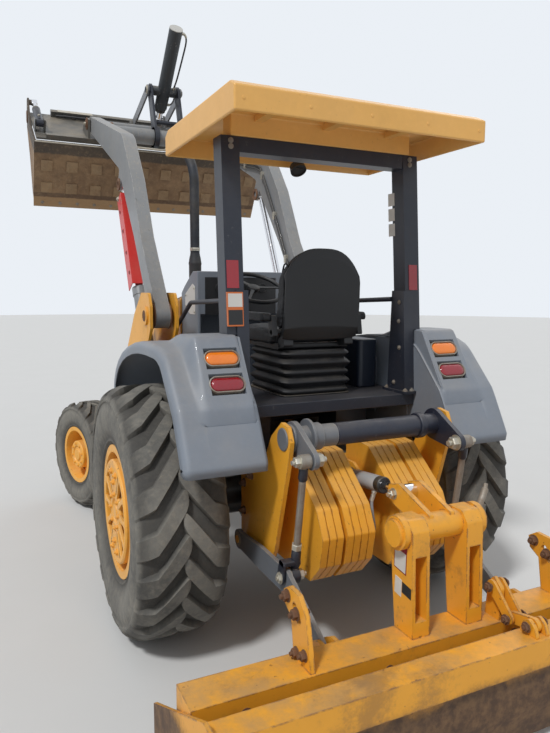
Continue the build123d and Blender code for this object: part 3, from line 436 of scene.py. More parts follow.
# Paint with broad tonal drift, dust lying on upward faces, small chips and an orange-peel surface
def paintFinish(name, base, dust=0.35, chips=0.3, grime=0.3, roughness=0.42, chipTone=rustTone, edge=0.0,
                edgeTone=None, streaks=0.0):
    board = Board(name)
    drift = board.noise(2.3, 5, 0.6)
    fine = board.noise(34, 6, 0.65)
    tone = board.blend(drift.between(0.3, 0.7) * 0.35, base, darker(base, 0.72))
    tone = board.blend(fine.between(0.45, 0.8) * 0.18, tone, tuple(min(1, c * 1.25 + 0.02) for c in base))
    soiled = board.noise(6.5, 8, 0.7).between(0.52, 0.78) * grime
    tone = board.blend(soiled, tone, tuple(c * 0.35 + d * 0.25 for c, d in zip(base, earthTone)))
    if streaks:
        run = board.noise(9, 6, 0.7, stretch=(6, 6, 0.5)).between(0.5, 0.75) * streaks
        tone = board.blend(run, tone, dustTone)
    settled = board.upward.between(0.1, 1.0) * board.noise(4.2, 7, 0.7).between(0.25, 0.75) * dust
    film = board.noise(1.7, 6, 0.7).between(0.4, 0.8) * (dust * 0.35)
    tone = board.blend(settled, tone, dustTone)
    tone = board.blend(film, tone, dustTone)
    chipped = board.noise(58, 3, 0.5).between(0.66, 0.7) * board.noise(5, 3, 0.6).between(0.42, 0.62) * chips
    tone = board.blend(chipped, tone, chipTone)
    rough = drift * 0.14 + (roughness - 0.07) + settled * 0.35 + soiled * 0.2
    bumps = fine * 0.3 - chipped
    if edge:
        rubbed = board.edges(0.008, 0.002, 0.05) * board.noise(21, 5, 0.7).between(0.42, 0.6) * edge
        tone = board.blend(rubbed, tone, edgeTone or chipTone)
        rough = rough - rubbed * 0.1
    return board.surface(Base_Color=tone, Roughness=rough, Normal=board.height(bumps, 0.0006, 0.5),
                         Coat_Weight=0.06)


# Bare or coated steel: mottled brown-grey with pits
def steelFinish(name, base, second, metallic=0.6, roughness=0.5, share=0.8, dust=0.0):
    board = Board(name)
    mottle = board.noise(9, 8, 0.7).between(0.35, 0.7)
    fine = board.noise(81, 5, 0.6)
    tone = board.blend(mottle * share, base, second)
    tone = board.blend(fine.between(0.55, 0.8) * 0.35, tone, darker(second, 0.5))
    if dust:
        tone = board.blend(board.noise(3, 6, 0.7).between(0.35, 0.75) * dust, tone, dustTone)
    return board.surface(Base_Color=tone, Metallic=(1.0 - mottle * share) * metallic,
                         Roughness=mottle * 0.25 + roughness,
                         Normal=board.height(fine + mottle, 0.0012, 0.6))


def chromeFinish():
    board = Board("chromeRod")
    film = board.noise(40, 5, 0.6).between(0.5, 0.8)
    tone = board.blend(film * 0.4, (0.78, 0.78, 0.8), (0.5, 0.48, 0.45))
    return board.surface(Base_Color=tone, Metallic=1.0, Roughness=film * 0.25 + 0.12)


# Rubber: dusty grey-brown on what stands out, darker in the grooves, fine cracks and scuffs
def tyreFinish():
    board = Board("tyreRubber")
    patches = board.noise(3.1, 7, 0.7).between(0.3, 0.72)
    scuffs = board.noise(26, 7, 0.7, stretch=(1, 1.6, 1)).between(0.4, 0.75)
    tone = board.blend(patches * 0.75 + 0.1, shade(80, 79, 76), shade(132, 129, 121))
    tone = board.blend(scuffs * 0.45, tone, shade(146, 138, 124))
    standingShare = board.add("ShaderNodeAttribute", {"attribute_name": "standing"}, {}, output=2)
    tone = board.blend((1.0 - standingShare) * 0.72, tone, shade(47, 45, 43))
    pits = board.cells(160).between(0.0, 0.35)
    return board.surface(Base_Color=tone, Roughness=0.82 - scuffs * 0.1,
                         Normal=board.height(scuffs + pits * 0.5, 0.0016, 0.6))


def plasticFinish(name, base, roughness=0.5, grain=260, dust=0.2):
    board = Board(name)
    drift = board.noise(3, 4).between(0.3, 0.7)
    tone = board.blend(drift * 0.3, base, tuple(c * 0.7 + 0.004 for c in base))
    lying = board.upward.between(0.2, 1.0) * board.noise(7, 6, 0.7).between(0.35, 0.75) * dust
    tone = board.blend(lying, tone, dustTone)
    bumps = board.cells(grain).between(0.0, 0.5)
    return board.surface(Base_Color=tone, Roughness=lying * 0.3 + roughness,
                         Normal=board.height(bumps, 0.0004, 0.4))


# Black seat vinyl: pebbled grain with a dusty bloom
def vinylFinish():
    board = Board("seatVinyl")
    pebbles = board.cells(420).between(0.05, 0.45)
    creases = board.noise(14, 5, 0.6, stretch=(1, 1, 2.5)).between(0.48, 0.6)
    tone = board.blend(board.noise(5, 6, 0.7).between(0.4, 0.8) * 0.5, shade(15, 16, 20), shade(30, 30, 34))
    return board.surface(Base_Color=tone, Roughness=pebbles * 0.12 + 0.5,
                         Normal=board.height(pebbles + creases * 1.5, 0.0007, 0.5))


# Signal lens: deep colour with fine ribs and a weak painted glow; the reflectors and the red blade plate that use
# it are no lamps
def lensFinish(name, base, bright):
    board = Board(name)
    ribs = board.add("ShaderNodeTexWave", {"bands_direction": "X"},
                     {"Vector": board.place, "Scale": 55.0, "Distortion": 0.0}, output=1)
    tone = board.blend(ribs * 0.45 + board.noise(12) * 0.3, base, bright)
    return board.surface(Base_Color=tone, Roughness=0.18, Coat_Weight=0.6, Emission_Color=tone,
                         Emission_Strength=0.12, Normal=board.height(ribs, 0.0008, 0.5))


# Blade paint: yellow above, scoured to brown where the soil runs, the border ragged
def bladeFinish(name, base):
    board = Board(name)
    height = board.add("ShaderNodeSeparateXYZ", {}, {0: board.place}, output=2)
    ragged = board.noise(7, 8, 0.75) - 0.5
    low = 1.0 - (height + ragged * 0.16).between(0.30, 0.385)
    sideways = 1.0 - board.upward.between(0.3, 0.75)
    scoured = low * sideways
    drift = board.noise(2.5, 5, 0.6).between(0.3, 0.7)
    tone = board.blend(drift * 0.3, base, darker(base, 0.7))
    lying = board.upward.between(0.2, 1.0) * board.noise(5, 7, 0.72).between(0.32, 0.66) * 0.6
    tone = board.blend(lying, tone, shade(150, 128, 98))
    smears = board.noise(3.4, 8, 0.75).between(0.52, 0.7) * 0.5
    tone = board.blend(smears, tone, shade(112, 86, 60))
    brown = board.blend(board.noise(16, 7, 0.7).between(0.35, 0.7), shade(78, 56, 40), shade(122, 92, 62))
    tone = board.blend(scoured, tone, brown)
    chipped = board.noise(48, 3, 0.5).between(0.68, 0.72) * board.noise(6, 3, 0.6).between(0.4, 0.6) * 0.6
    tone = board.blend(chipped, tone, shade(88, 52, 40))
    rubbed = board.edges(0.01, 0.004, 0.06) * board.noise(17, 5, 0.7).between(0.42, 0.58)
    tone = board.blend(rubbed * 0.85, tone, shade(96, 70, 66))
    bumps = board.noise(40, 6, 0.65) * 0.5 + board.noise(90, 3) * scoured - chipped
    return board.surface(Base_Color=tone, Roughness=lying * 0.3 + scoured * 0.25 + 0.42,
                         Normal=board.height(bumps, 0.001, 0.5))


# Clam's skin: dark above the seam, brown below, paler on the wear pads and along the lip, with a band of painted
# shade just before the lip
def clamFinish():
    board = Board("clamSteel")
    reach = board.measure(pins["armTip"], (math.cos(dumpTurn), math.sin(dumpTurn)))
    depth = board.measure(pins["armTip"], (-math.sin(dumpTurn), math.cos(dumpTurn)))
    ragged = board.noise(14, 6, 0.7) - 0.5
    broad = board.noise(2.2, 7, 0.7).between(0.32, 0.7)
    patches = board.noise(9, 8, 0.75).between(0.38, 0.68)
    tone = board.blend(broad, shade(122, 96, 70), shade(152, 124, 92))
    tone = board.blend(patches * 0.5, tone, shade(84, 64, 50))
    lip = (reach + ragged * 0.02).between(0.642, 0.652)
    tone = board.blend(lip * 0.75, tone, shade(168, 136, 98))
    # Dark band just before the lip: painted shade
    band = (reach + ragged * 0.02).between(0.600, 0.612) * (1.0 - lip)
    tone = board.blend(band * 0.6, tone, shade(70, 52, 42))
    pad = 1.0 - (depth + ragged * 0.002).between(-0.1345, -0.1320)
    tone = board.blend(pad * board.noise(20, 6, 0.7).between(0.25, 0.55) * 0.4, tone, shade(166, 142, 108))
    upper = 1.0 - (reach + ragged * 0.03).between(0.245, 0.262)
    tone = board.blend(upper * 0.82, tone, shade(62, 59, 55))
    tone = board.blend(board.noise(30, 6, 0.7).between(0.5, 0.78) * 0.4, tone, shade(172, 148, 116))
    pits = board.noise(120, 4, 0.6)
    return board.surface(Base_Color=tone, Roughness=0.72 - broad * 0.12,
                         Normal=board.height(pits + patches * 1.5, 0.0016, 0.6))


# Bucket cylinder: charcoal tube whose end cap shows pale metal
def cylinderFinish():
    board = Board("cylinderCharcoal")
    along = board.measure(pins["trunnion"], (0.200, -0.190))
    drift = board.noise(5, 5, 0.6).between(0.3, 0.7)
    tone = board.blend(drift * 0.3, shade(58, 62, 66), shade(40, 43, 48))
    tone = board.blend(board.upward.between(0.1, 1.0) * 0.25, tone, dustTone)
    cap = 1.0 - (along + board.noise(30) * 0.004).between(-0.555, -0.551)
    tone = board.blend(cap, tone, shade(186, 184, 178))
    chipped = board.noise(60, 3, 0.5).between(0.66, 0.7) * 0.5
    tone = board.blend(chipped, tone, shade(150, 146, 138))
    return board.surface(Base_Color=tone, Roughness=0.5 - cap * 0.1, Normal=board.height(chipped, 0.0005, 0.5))


finishes = {
    "yellow": paintFinish("yellowPaint", shade(236, 167, 46), dust=0.3, chips=0.55, grime=0.32, edge=0.6,
                          edgeTone=shade(110, 78, 62)),
    "rim": paintFinish("rimYellow", shade(240, 172, 62), dust=0.3, chips=0.8, grime=0.45),
    "fender": paintFinish("fenderGrey", shade(122, 130, 141), dust=0.3, chips=0.04, grime=0.08, roughness=0.48,
                          chipTone=shade(150, 152, 156)),
    "charcoal": paintFinish("charcoalPaint", shade(33, 38, 50), dust=0.12, chips=0.12, grime=0.2,
                            chipTone=shade(150, 148, 145)),
    "arm": paintFinish("armGrey", shade(128, 131, 134), dust=0.3, chips=0.5, grime=0.35, edge=0.7,
                       edgeTone=shade(186, 184, 178), chipTone=shade(80, 76, 72), streaks=0.35),
    "greyMetal": paintFinish("hitchGrey", shade(104, 108, 114), dust=0.35, chips=0.4, grime=0.45, edge=0.5,
                             edgeTone=shade(160, 158, 152)),
    "paleGrey": paintFinish("barrelGrey", shade(172, 174, 176), dust=0.2, chips=0.3, grime=0.3, roughness=0.36),
    "black": paintFinish("blackPaint", shade(24, 25, 29), dust=0.3, chips=0.25, grime=0.3,
                         chipTone=shade(120, 110, 100)),
    # Navy tone: painted shade on the grey hitch paint, for the rockshaft's parts that lie in shadow
    "paintedShadeNavy": paintFinish("greyPaintInPaintedShade", shade(26, 33, 50), dust=0.12, chips=0.15, grime=0.25,
                        chipTone=shade(140, 140, 140)),
    "red": paintFinish("lockRed", shade(206, 44, 42), dust=0.18, chips=0.3, grime=0.12, roughness=0.36, edge=0.4),
    "canopy": paintFinish("canopyOrange", shade(234, 178, 96), dust=0.25, chips=0.1, grime=0.12),
    "blade": bladeFinish("bladeYellow", shade(234, 164, 46)),
    "clam": clamFinish(),
    "cylinder": cylinderFinish(),
    "bucketDark": paintFinish("bucketBack", shade(74, 74, 72), dust=0.45, chips=0.5, grime=0.6),
    "steel": steelFinish("wornSteel", shade(150, 146, 138), shade(112, 92, 74), dust=0.2),
    "rusty": steelFinish("rustySteel", shade(120, 88, 66), shade(84, 58, 42), metallic=0.25, roughness=0.6),
    "zinc": steelFinish("zincPlate", shade(196, 192, 180), shade(150, 140, 118), metallic=0.85, roughness=0.32,
                        share=0.5),
    "paleSteel": steelFinish("paleSteel", shade(196, 190, 176), shade(150, 140, 122), metallic=0.3, share=0.5),
    "stack": steelFinish("stackSteel", shade(40, 44, 52), shade(28, 30, 34), metallic=0.2, dust=0.15),
    "chrome": chromeFinish(),
    "tyre": tyreFinish(),
    "vinyl": vinylFinish(),
    "plastic": plasticFinish("blackPlastic", shade(20, 21, 24), dust=0.12),
    "console": plasticFinish("consolePlastic", shade(24, 33, 48), roughness=0.45),
    "bellows": plasticFinish("bellowsRubber", shade(19, 20, 24), roughness=0.62, grain=380, dust=0.1),
    "knob": plasticFinish("orangeKnob", shade(196, 92, 28), roughness=0.35, dust=0.1),
    "hose": plasticFinish("hoseRubber", shade(60, 60, 62), roughness=0.55, grain=500, dust=0.4),
    "paleHose": plasticFinish("sleevedHose", shade(132, 134, 136), roughness=0.6, grain=500, dust=0.3),
    # Lens finishes: the glow in them is painted light, also on the reflectors and the red blade plate
    "amber": lensFinish("amberLens", shade(206, 92, 18), shade(246, 150, 30)),
    "redLens": lensFinish("redLens", shade(112, 8, 24), shade(160, 16, 34)),
    "reflector": lensFinish("redReflector", shade(132, 4, 22), shade(158, 10, 30)),
    "plate": plasticFinish("blankPlate", shade(214, 212, 206), roughness=0.35, grain=900, dust=0.15),
    "plateDark": plasticFinish("blankPlateDark", shade(30, 30, 32), roughness=0.35, grain=900, dust=0.1),
    "plateOrange": plasticFinish("blankPlateOrange", shade(208, 110, 50), roughness=0.35, grain=900, dust=0.1),
}
print("finishes made,", len(finishes))

# CAD nodes that keep their shape, by finish and slot, each with its edge radius
dressedNodes = {
    ("charcoal", "charcoal_paint"): {
        "frame": 0.004, "bucket_levers": 0.003, "clam_barrels": 0.002, "platform": 0.004, "rops": 0.006,
        "handrails": 0.001, "steering_knuckle_left": 0.003, "steering_knuckle_right": 0.003},
    ("black", "black_paint"): {
        "engine": 0.006, "transaxle": 0.006, "grille": 0.003, "fuel_tank": 0.01, "battery_box": 0.01,
        "tie_rod": 0.001},
    ("yellow", "yellow_paint"): {
        "front_axle": 0.004, "loader_tower_left": 0.003, "loader_tower_right": 0.003, "hood": 0.004,
        "rear_frame": 0.004, "counterweights": 0.006},
    ("arm", "grey_paint"): {"boom": 0.004, "lift_barrel_left": 0.003, "lift_barrel_right": 0.003},
    ("chrome", "chrome_rod"): {
        "lift_rod_left": 0.002, "lift_rod_right": 0.002, "bucket_rod": 0.002, "clam_rods": 0.002,
        "top_link_rod": 0.002},
    ("greyMetal", "grey_paint"): {"bucket_links": 0.003, "lower_links": 0.003},
    ("red", "red_paint"): {"lift_lock": 0.002},
    ("cylinder", "charcoal_paint"): {"bucket_barrel": 0.003},
    ("bucketDark", "worn_paint"): {"bucket_back": 0.003},
    ("clam", "worn_paint"): {"clam": 0.003},
    ("fender", "grey_paint"): {"cowl": 0.006},
    ("canopy", "yellow_paint"): {"canopy": 0.012},
    ("steel", "grey_paint"): {"lift_rods": 0.003},
    ("blade", "yellow_paint"): {"box_blade": 0.004},
    ("console", "black_plastic"): {"console": 0.008},
}
for (finish, slotName), edges in dressedNodes.items():
    for name, bevel in edges.items():
        softened(name, finish, bevel)
print("nodes dressed,", sum(len(edges) for edges in dressedNodes.values()))


# Wheels


# name, side, seat radius, tyre radius, tyre width, disc offset, lugs each side
wheelTable = [
    ("rear_left", -1, 0.330, 0.625, 0.430, -0.060, 20),
    ("rear_right", 1, 0.330, 0.625, 0.430, -0.060, 20),
    ("front_left", -1, 0.222, 0.415, 0.285, 0.020, 18),
    ("front_right", 1, 0.222, 0.415, 0.285, 0.020, 18),
]
kingpinX = 0.700
frontTrack = 1.610
rearTrack = 1.640


# Centre and outward direction of a wheel; steered wheels are swung about their kingpins
def wheelAxes(name, side, radius):
    if name.startswith("rear"):
        return np.array([side * rearTrack / 2, rearAxleY, radius]), np.array([side, 0.0, 0.0])
    outward = np.array([side * math.cos(steerTurn), side * math.sin(steerTurn), 0.0])
    kingpin = np.array([side * kingpinX, rearAxleY + wheelBase, radius])
    return kingpin + outward * (frontTrack / 2 - kingpinX), outward


# Point on a wheel: across along the axle, radius out, and angle up from the rear over the top
def onWheel(centre, outward, across, radius, angle):
    across, radius, angle = (np.asarray(value)[..., None] for value in (across, radius, angle))
    back = np.array([outward[1], -outward[0], 0.0])
    back = back if back[1] < 0 else -back
    return centre + across * outward + radius * (np.cos(angle) * back + np.sin(angle) * np.array([0, 0, 1.0]))


# Half section of a carcass from bead to crown, as shares of half width and of the wall's height
def carcassLine(halfWidth, rimRadius, crown):
    shares = [(0.80, 0.00), (0.86, 0.06), (0.90, 0.10), (0.885, 0.15), (0.955, 0.30), (1.0, 0.50),
              (0.995, 0.66), (0.955, 0.80), (0.985, 0.845), (0.93, 0.925), (0.80, 0.968), (0.5, 0.99), (0.0, 1.0)]
    return smoothLine([(halfWidth * a, rimRadius + (crown - rimRadius) * r) for a, r in shares], 6)


# Carcass: the section turned round the axle. Lug: a section of base, walls and top carried along the
# carcass from the side wall over the shoulder past the centre line, leading as it goes
def makeTyre(name, side, rimRadius, radius, width, lugCount):
    tread = {"lugHeight": 0.052 * radius, "topWidth": 0.142 * radius, "baseWidth": 0.188 * radius,
             "lead": 0.235, "kinkLead": 0.045, "wallStart": 0.62, "past": 0.07, "around": 96}
    centre, outward = wheelAxes(name, side, radius)
    body = bodyOf(name + "_tyre")
    half = width / 2
    crown = radius - tread["lugHeight"]
    line = carcassLine(half - 0.004, rimRadius - 0.006, crown)
    inner = np.array([(half * 0.76, rimRadius - 0.012), (half * 0.60, rimRadius - 0.012)])
    section = np.concatenate([inner[::-1], line, line[-2::-1] * (-1, 1), inner * (-1, 1)])
    angle = np.linspace(0, 2 * math.pi, tread["around"], endpoint=False)
    a, t = np.meshgrid(section[:, 0], angle, indexing="ij")
    r = np.repeat(section[:, 1][:, None], len(angle), 1)
    carcass = gridShape(onWheel(centre, outward, a, r, t), closeRows=True, closeColumns=True)
    tyre = piece(name + "_carcass", carcass, "tyre", body)

    # The lug's walk over the carcass, and its height, width and lead at each station along it
    stations = np.array([0.0, 0.06, 0.16, 0.26, 0.34, 0.42, 0.52, 0.62, 0.74, 0.86, 0.93, 0.975, 1.0])
    start = int(len(line) * tread["wallStart"])
    walk = np.concatenate([line[start:], line[-2:-12:-1] * (-1, 1)])
    length = np.concatenate([[0], np.cumsum(np.linalg.norm(np.diff(walk, axis=0), axis=1))])
    reach = length[len(line) - start - 1] + tread["past"] * half
    at = stations * reach
    across = np.interp(at, length, walk[:, 0])
    out = np.interp(at, length, walk[:, 1])
    slopeA, slopeR = np.gradient(across, at), np.gradient(out, at)
    size = np.hypot(slopeA, slopeR)
    normalA, normalR = -slopeR / size, slopeA / size
    flip = np.where(normalR < 0, -1, 1)
    normalA, normalR = normalA * flip, normalR * flip
    normalA = np.where(out < rimRadius + 0.8 * (crown - rimRadius), np.abs(normalA), normalA)
    rise = np.interp(stations, [0, 0.16, 0.34, 0.42, 0.95, 1.0], [0.06, 0.36, 0.86, 1.0, 1.0, 0.78])
    widen = np.interp(stations, [0, 0.26, 0.42, 0.8, 0.93, 0.975, 1.0], [1.02, 1.05, 1.0, 1.06, 0.98, 0.78, 0.5])
    shoulder = np.interp(0.42, stations, at)
    leadAt = np.interp(at, [0, shoulder, reach], [0, tread["kinkLead"], tread["lead"]])

    # Across the lug: sunk foot, base edge and top edge on both flanks
    profileX = np.array([-0.5, -0.5, -0.36, 0.36, 0.5, 0.5])
    profileH = np.array([-0.35, 0.0, 1.0, 1.0, 0.0, -0.35])
    base, top = tread["baseWidth"], tread["topWidth"] / 0.72
    profileW = np.array([base, base, top, top, base, base])
    s, c = np.meshgrid(np.arange(len(stations)), np.arange(len(profileX)), indexing="ij")
    height = profileH[c] * rise[s] * tread["lugHeight"]
    lugAcross = across[s] + normalA[s] * height
    lugOut = np.minimum(out[s] + normalR[s] * height, radius - 0.0005)
    lugAngle = (leadAt[s] + profileX[c] * profileW[c] * widen[s]) / radius
    pitch = 2 * math.pi / lugCount
    shapes = []
    for mirror, shift in ((1, 0.0), (-1, 0.5)):
        for k in range(lugCount):
            turn = lugAngle + (k + shift) * pitch
            shapes.append(skinned(onWheel(centre, outward, mirror * lugAcross, lugOut, turn)))
    lugs = piece(name + "_lugs", shapes, "tyre", body, smoothAngle=28)
    markStanding(tyre, centre, outward, crown, radius, half, (0.86, 0.1))
    markStanding(lugs, centre, outward, crown, radius, half, (0.9, 0.08))
    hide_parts(name + "_tyre")


# Attribute from 0 in the grooves to 1 on lug tops and side walls, which the rubber's tone follows
def markStanding(thing, centre, outward, crown, radius, half, wallSpan):
    offset = np.array([v.co for v in thing.data.vertices]) - centre
    across = offset @ outward
    out = np.linalg.norm(offset - across[:, None] * outward, axis=1)
    lifted = np.clip((out - crown - 0.002) / (0.8 * (radius - crown)), 0, 1)
    wall = np.clip((np.abs(across) - half * wallSpan[0]) / (half * wallSpan[1]), 0, 1)
    if "carcass" in thing.name:
        wall *= out < crown - 0.01
    values = np.maximum(lifted, wall).astype(np.float32)
    thing.data.attributes.new("standing", "FLOAT", "POINT").data.foreach_set("value", values)


# Rim: the turned CAD rim with its edges rounded, and its wheel nuts, cap bolts and clamp nuts
def makeRim(name, side, radius, discOffset):
    rear = name.startswith("rear")
    centre, outward = wheelAxes(name, side, radius)
    softened(name + "_rim", "rim", 0.0025)
    fixings = []
    # count, ring radius, place along the axle, width, first one's turn in steps
    for count, ring, across, width, phase in ((10 if rear else 8, 0.098, 0.0, 0.019, 0.0),
                                              (6, 0.036, 0.040, 0.010, 0.0),
                                              (8, 0.249 if rear else 0.147, 0.010, 0.016, 0.5)):
        for k in range(count):
            spot = onWheel(centre, outward, discOffset + across, ring, (k + phase) * 2 * math.pi / count)
            fixings.append(nut(spot, outward, width, width * 0.5))
    piece(name + "_nuts", fixings, "rusty", bodyOf(name + "_rim"), smoothAngle=30)


# The centre's turned and cast shapes and its bolts, as two pieces
def fitCentre(name, shapes, bolts, bevel):
    body = bodyOf(name + "_rim")
    piece(name + "_centre", shapes, "rim", body, smoothAngle=32, bevel=bevel)
    piece(name + "_centre_bolts", bolts, "rim", body, smoothAngle=30)


# Cast centre of a rear wheel: a drum out to the rim's edge, a face with windows between spokes, and
# two bolted pads
def makeRearCentre(name, side, radius):
    drum = {"outer": 0.258, "inner": 0.228, "back": -0.066, "face": 0.192, "plate": 0.176, "hub": 0.108,
            "step": 30, "padHalf": 30, "padInner": 0.104, "padOuter": 0.236, "hubBolts": 8}
    # radius and half angle of a spoke's edge, from the hub out
    spoke = ((drum["hub"] - 0.006, 0.15), (0.19, 0.06), (drum["inner"] + 0.008, 0.085))
    centre, outward = wheelAxes(name, side, radius)
    face, wall, back, inner, hub = (drum[key] for key in ("face", "outer", "back", "inner", "hub"))

    def polar(points):
        return [(r * math.cos(a), radius + r * math.sin(a)) for r, a in points]

    shapes = [turned([(back, inner), (back, wall), (face - 0.008, wall), (face, wall - 0.008),
                      (face, inner + 0.004), (face - 0.004, inner), (back, inner)], centre, outward, 72),
              turned([(back, 0), (back, hub), (face - 0.012, hub), (face - 0.004, hub - 0.008),
                      (face - 0.004, 0.066), (face - 0.014, 0.060), (face - 0.014, 0.042),
                      (face - 0.002, 0.036), (face - 0.002, 0)], centre, outward, 56)]
    ends = (centre[0] + side * drum["plate"], centre[0] + side * (face - 0.002))
    for degrees in range(0, 360, drum["step"]):
        if degrees % 180 == 90:
            continue
        turn = math.radians(degrees)
        outline = [(r, turn - a) for r, a in spoke] + [(r, turn + a) for r, a in spoke[::-1]]
        shapes.append(prism(polar(outline), *ends))
    bolts = []
    for middle in (90, 270):
        arc = np.radians(np.linspace(middle - drum["padHalf"], middle + drum["padHalf"], 9))
        pad = [(drum["padInner"], a) for a in arc] + [(drum["padOuter"], a) for a in arc[::-1]]
        shapes.append(prism(polar(pad), *ends))
        for out, degrees in ((0.150, middle), (0.200, middle - 14), (0.200, middle + 14)):
            bolts.append(nut(onWheel(centre, outward, face - 0.003, out, math.radians(degrees)), outward,
                             0.026, 0.012))
    for k in range(drum["hubBolts"]):
        spot = onWheel(centre, outward, face - 0.005, 0.086, k * 2 * math.pi / drum["hubBolts"])
        bolts.append(nut(spot, outward, 0.018, 0.010))
    fitCentre(name, shapes, bolts, 0.003)


# Deep hub of a front wheel with a ring groove, a ring of bolts and a cap
def makeFrontCentre(name, side, radius):
    centre, outward = wheelAxes(name, side, radius)
    hub = turned([(0.016, 0), (0.016, 0.112), (0.106, 0.109), (0.114, 0.101), (0.114, 0.070), (0.104, 0.064),
                  (0.104, 0.048), (0.116, 0.042), (0.117, 0.018), (0.117, 0)], centre, outward, 56)
    bolts = [nut(onWheel(centre, outward, 0.113, 0.086, k * math.pi / 4 + 0.2), outward, 0.016, 0.008)
             for k in range(8)]
    fitCentre(name, hub, bolts, 0.002)


for name, side, seatRadius, radius, width, discOffset, lugCount in wheelTable:
    makeTyre(name, side, seatRadius, radius, width, lugCount)
    makeRim(name, side, radius, discOffset)
    makeCentre = makeRearCentre if name.startswith("rear") else makeFrontCentre
    makeCentre(name, side, radius)
print("wheels made,", len(wheelTable))


# Fenders and lamps

# Side-view runs of the fender's skin and of the lamp pod that rises from it, point by point alongside
fender = {
    "inner": 0.500, "outer": 0.865, "lip": 0.060, "corner": 0.030, "wall": 0.006,
    "podLeft": 0.516, "podRight": 0.739, "podBlend": 0.058, "lampMargin": 0.020,
    "lampRows": ((0.16, 0.46), (0.56, 0.86)), "lampInset": 0.022, "lampDepth": 0.020,
}
fenderRun = [
    # skin forward, skin height, pod forward, pod height
    (0.730, 1.040, 0.730, 1.040), (0.712, 1.130, 0.712, 1.130), (0.690, 1.200, 0.690, 1.200),
    (0.630, 1.275, 0.630, 1.275), (0.560, 1.330, 0.560, 1.330), (0.450, 1.383, 0.450, 1.383),
    (0.330, 1.420, 0.330, 1.420), (0.190, 1.448, 0.190, 1.448), (0.060, 1.464, 0.060, 1.464),
    (-0.030, 1.469, -0.030, 1.469), (-0.075, 1.470, -0.080, 1.474), (-0.120, 1.471, -0.125, 1.490),
    (-0.160, 1.471, -0.170, 1.507), (-0.200, 1.470, -0.215, 1.515), (-0.270, 1.469, -0.300, 1.517),
    (-0.330, 1.460, -0.385, 1.518), (-0.385, 1.438, -0.412, 1.518), (-0.412, 1.420, -0.428, 1.513),
    (-0.440, 1.394, -0.438, 1.500),
]
podLow, podHigh = np.array([-0.608, 1.236]), np.array([-0.438, 1.500])


def fenderSurface(side):
    shape = fender
    run = np.array(fenderRun)
    # The pod's lamp face, cut at the lamps' edges so that they come out crisp
    cuts = [0.0]
    for low, high in shape["lampRows"][::-1]:
        cuts += [1 - high - 0.012, 1 - high, (2 - high - low) / 2, 1 - low, 1 - low + 0.012]
    cuts.append(1.0)
    skinTop, skinLow = np.array([-0.440, 1.394]), np.array([-0.600, 1.225])
    faceRows = []
    for share in cuts[1:]:
        skin = skinTop + (skinLow - skinTop) * share
        pod = podHigh + (podLow - podHigh) * share
        faceRows.append((*skin, *pod))
    shelf = [(-0.606, 1.216, -0.617, 1.226), (-0.611, 1.207, -0.621, 1.212), (-0.628, 1.178, -0.636, 1.160),
             (-0.631, 1.172, -0.636, 1.150), (-0.634, 1.166, -0.628, 1.148)]
    tail = [(-0.640, 1.155), (-0.690, 1.060), (-0.712, 1.018), (-0.719, 1.003), (-0.722, 0.994),
            (-0.717, 0.960)]
    rows = np.concatenate([run, faceRows, shelf, [(*p, *p) for p in tail]])
    skin, pod = rows[:, :2], rows[:, 2:]
    faceAt = np.zeros(len(rows))
    inFace = np.zeros(len(rows), bool)
    firstFace = len(run) - 1
    for k, share in enumerate(cuts):
        faceAt[firstFace + k] = 1 - share
        inFace[firstFace + k] = True

    # Across: share of the pod's height, and the drop that turns the skin down into its outer lip
    blendOut = np.linspace(0, 1, 9)
    acrossPod = shape["podRight"] + shape["podBlend"] * (blendOut - 0.35)
    inset = shape["lampInset"]
    podLeft, lampRight = shape["podLeft"], shape["podRight"] - inset - shape["lampMargin"]
    stations = [(shape["inner"], 0.0, 0.0), (podLeft - 0.004, 0.0, 0.0), (podLeft + 0.004, 0.92, 0.0),
                (podLeft + 0.012, 1.0, 0.0), (podLeft + inset, 1.0, 0.0), (podLeft + inset + 0.003, 1.0,
                                                                           1.0),
                (lampRight - 0.003, 1.0, 1.0), (lampRight, 1.0, 0.0)]
    stations += [(x, 1 - t * t * (3 - 2 * t), 0.0) for x, t in zip(acrossPod, blendOut)]
    flat = np.linspace(shape["podRight"] + shape["podBlend"], shape["outer"] - shape["corner"], 6)[1:]
    stations += [(x, 0.0, 0.0) for x in flat]
    stations = np.array(stations)
    bend = np.linspace(0, math.pi / 2, 6)[1:]
    cornerX = shape["outer"] - shape["corner"] + shape["corner"] * np.sin(bend)
    cornerDrop = shape["corner"] * (1 - np.cos(bend))
    lipX = [shape["outer"], shape["outer"], shape["outer"] - 0.004]
    lipDrop = [shape["lip"] * 0.7, shape["lip"], shape["lip"] + 0.003]
    x = np.concatenate([stations[:, 0], cornerX, lipX])
    drop = np.concatenate([np.zeros(len(stations)), cornerDrop, lipDrop])
    rise = np.concatenate([stations[:, 1], np.zeros(8)])
    window = np.concatenate([stations[:, 2], np.zeros(8)])

    # Surface: skin + (pod - skin) times the rise, less the inward normal times the drop and the lamps' recess
    tangent = np.gradient(skin, axis=0)
    tangent /= np.linalg.norm(tangent, axis=1)[:, None]
    inward = np.column_stack([-tangent[:, 1], tangent[:, 0]])
    inward *= np.where(np.sum(inward * (np.array([0.0, 0.625]) - skin), axis=1) < 0, -1, 1)[:, None]
    recess = np.zeros(len(rows))
    for low, high in shape["lampRows"]:
        recess = np.maximum(recess, np.where(inFace & (faceAt > low - 0.001) & (faceAt < high + 0.001), 1.0,
                                             0.0))
    depth = drop[None, :] + recess[:, None] * window[None, :] * shape["lampDepth"]
    place = skin[:, None] + (pod - skin)[:, None] * rise[None, :, None] + inward[:, None] * depth[..., None]
    across = np.broadcast_to(side * x[None, :], place.shape[:2])
    return gridShape(np.stack([across, place[..., 0] + rearAxleY, place[..., 1]], -1))


